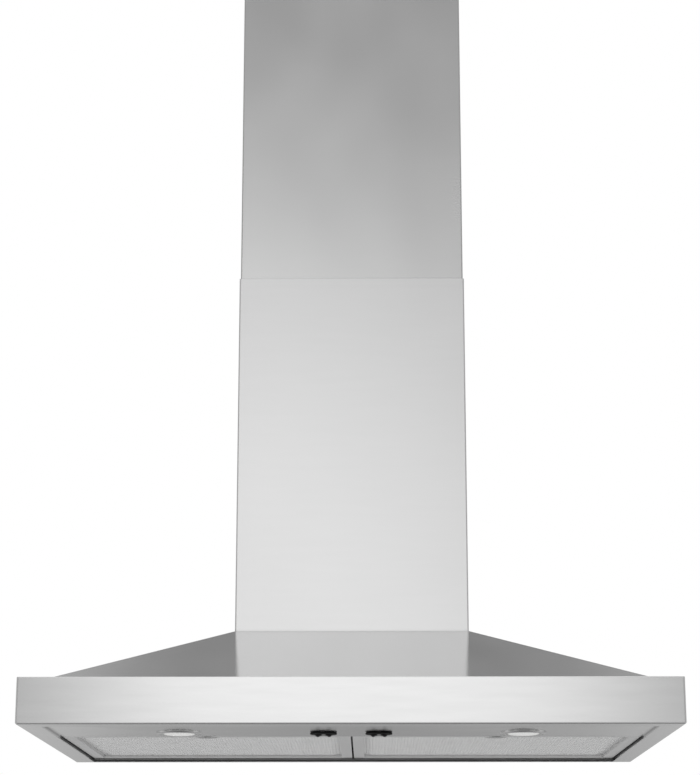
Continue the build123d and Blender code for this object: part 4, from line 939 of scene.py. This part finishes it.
# ---------------------------------------------------------------- blower, boxes and leads
# Folded housings with rounded bends, the painted motor on rubber feet, its capacitor, the switches,
# terminal block and gland, and the grey sheathed leads between them. The blower's back is pressed
# out to stiffen it, and a bead is rolled round the collar.
HOUSING_FOLD_R = 0.0004
PRESSED_MARGIN = 0.025
PRESSED_H = 0.0015
BACK_AREA = 0.01  # the back is the one face larger than this within the flange's depth
FLANGE_DEPTH = 0.0095  # in from the rear edge of the housing's flange
housing = softened("blower_box", "blower_housing", HOUSING_FOLD_R, zinc_sheet)
back_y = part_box("blower_box")[1].y - FLANGE_DEPTH
only(housing)
bpy.ops.object.mode_set(mode="EDIT")
bpy.ops.mesh.select_all(action="DESELECT")
bpy.ops.mesh.select_mode(type="FACE")
bpy.ops.object.mode_set(mode="OBJECT")
for face in housing.data.polygons:
    face.select = face.normal.y > 0.99 and face.area > BACK_AREA and face.center.y > back_y
bpy.ops.object.mode_set(mode="EDIT")
bpy.ops.mesh.inset(thickness=PRESSED_MARGIN)
bpy.ops.mesh.inset(thickness=PRESSED_H)
bpy.ops.transform.translate(value=(0, PRESSED_H, 0))
bpy.ops.object.mode_set(mode="OBJECT")
smooth(housing)

COLLAR_EDGE = 0.0002
BEAD_R = 0.0015
BEAD_SINK = 0.0002  # inwards from the axle's ends, which nearly reach the collar's outside
BEAD_DROP = 0.012  # below the collar's upper edge
collar = softened("duct_collar", "beaded_collar", COLLAR_EDGE, zinc_sheet)
axle_low, axle_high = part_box("damper_axle")
bead_points = [
    (axle_high.x - BEAD_SINK + BEAD_R * math.cos(turn), BEAD_R * math.sin(turn))
    for turn in [math.radians(step * 45) for step in range(9)]
]
bead = turned("collar_bead", bead_points, 96)
bead_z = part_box("duct_collar")[1].z - BEAD_DROP
placed(bead, (0, (axle_low.y + axle_high.y) / 2, bead_z))
smooth(bead)
bead.data.materials.append(zinc_sheet)
only(collar)
bead.select_set(True)
bpy.ops.object.join()

for node, name, width in (
    ("wiring_box", "wiring_housing", FOLD_R),
    ("wiring_box_cover", "wiring_cover", FOLD_R),
    ("upper_flue_bracket", "wall_bracket", HOUSING_FOLD_R),
    ("motor_bracket", "motor_arms", HOUSING_FOLD_R),
):
    softened(node, name, width, zinc_sheet)
motor_paint = moulded(
    "motor_paint", (0.09, 0.095, 0.1), 0.45, grain=900.0, depth=0.00005, spread=0.1
)
dark_plastic = moulded(
    "dark_plastic", (0.03, 0.03, 0.032), 0.5, grain=1200.0, depth=0.00003, spread=0.15
)
soft_rubber = moulded(
    "soft_rubber", (0.02, 0.02, 0.02), 0.75, grain=700.0, depth=0.00005, spread=0.2
)
white_plastic = moulded(
    "white_plastic", (0.7, 0.7, 0.68), 0.4, grain=900.0, depth=0.00002, spread=0.04
)
cream_plastic = moulded(
    "cream_plastic", (0.72, 0.68, 0.55), 0.42, grain=900.0, depth=0.00002, spread=0.05
)
grey_sheath = moulded(
    "grey_sheath", (0.24, 0.24, 0.25), 0.5, grain=1100.0, depth=0.00003, spread=0.08
)
give(motor_paint, "motor")
give(dark_plastic, "light_switch", "fan_switch", "cable_gland")
give(soft_rubber, "motor_isolators")
give(white_plastic, "capacitor")
give(cream_plastic, "terminal_block")
give(grey_sheath, "motor_lead", "switch_lead", "lamp_lead_left", "lamp_lead_right")
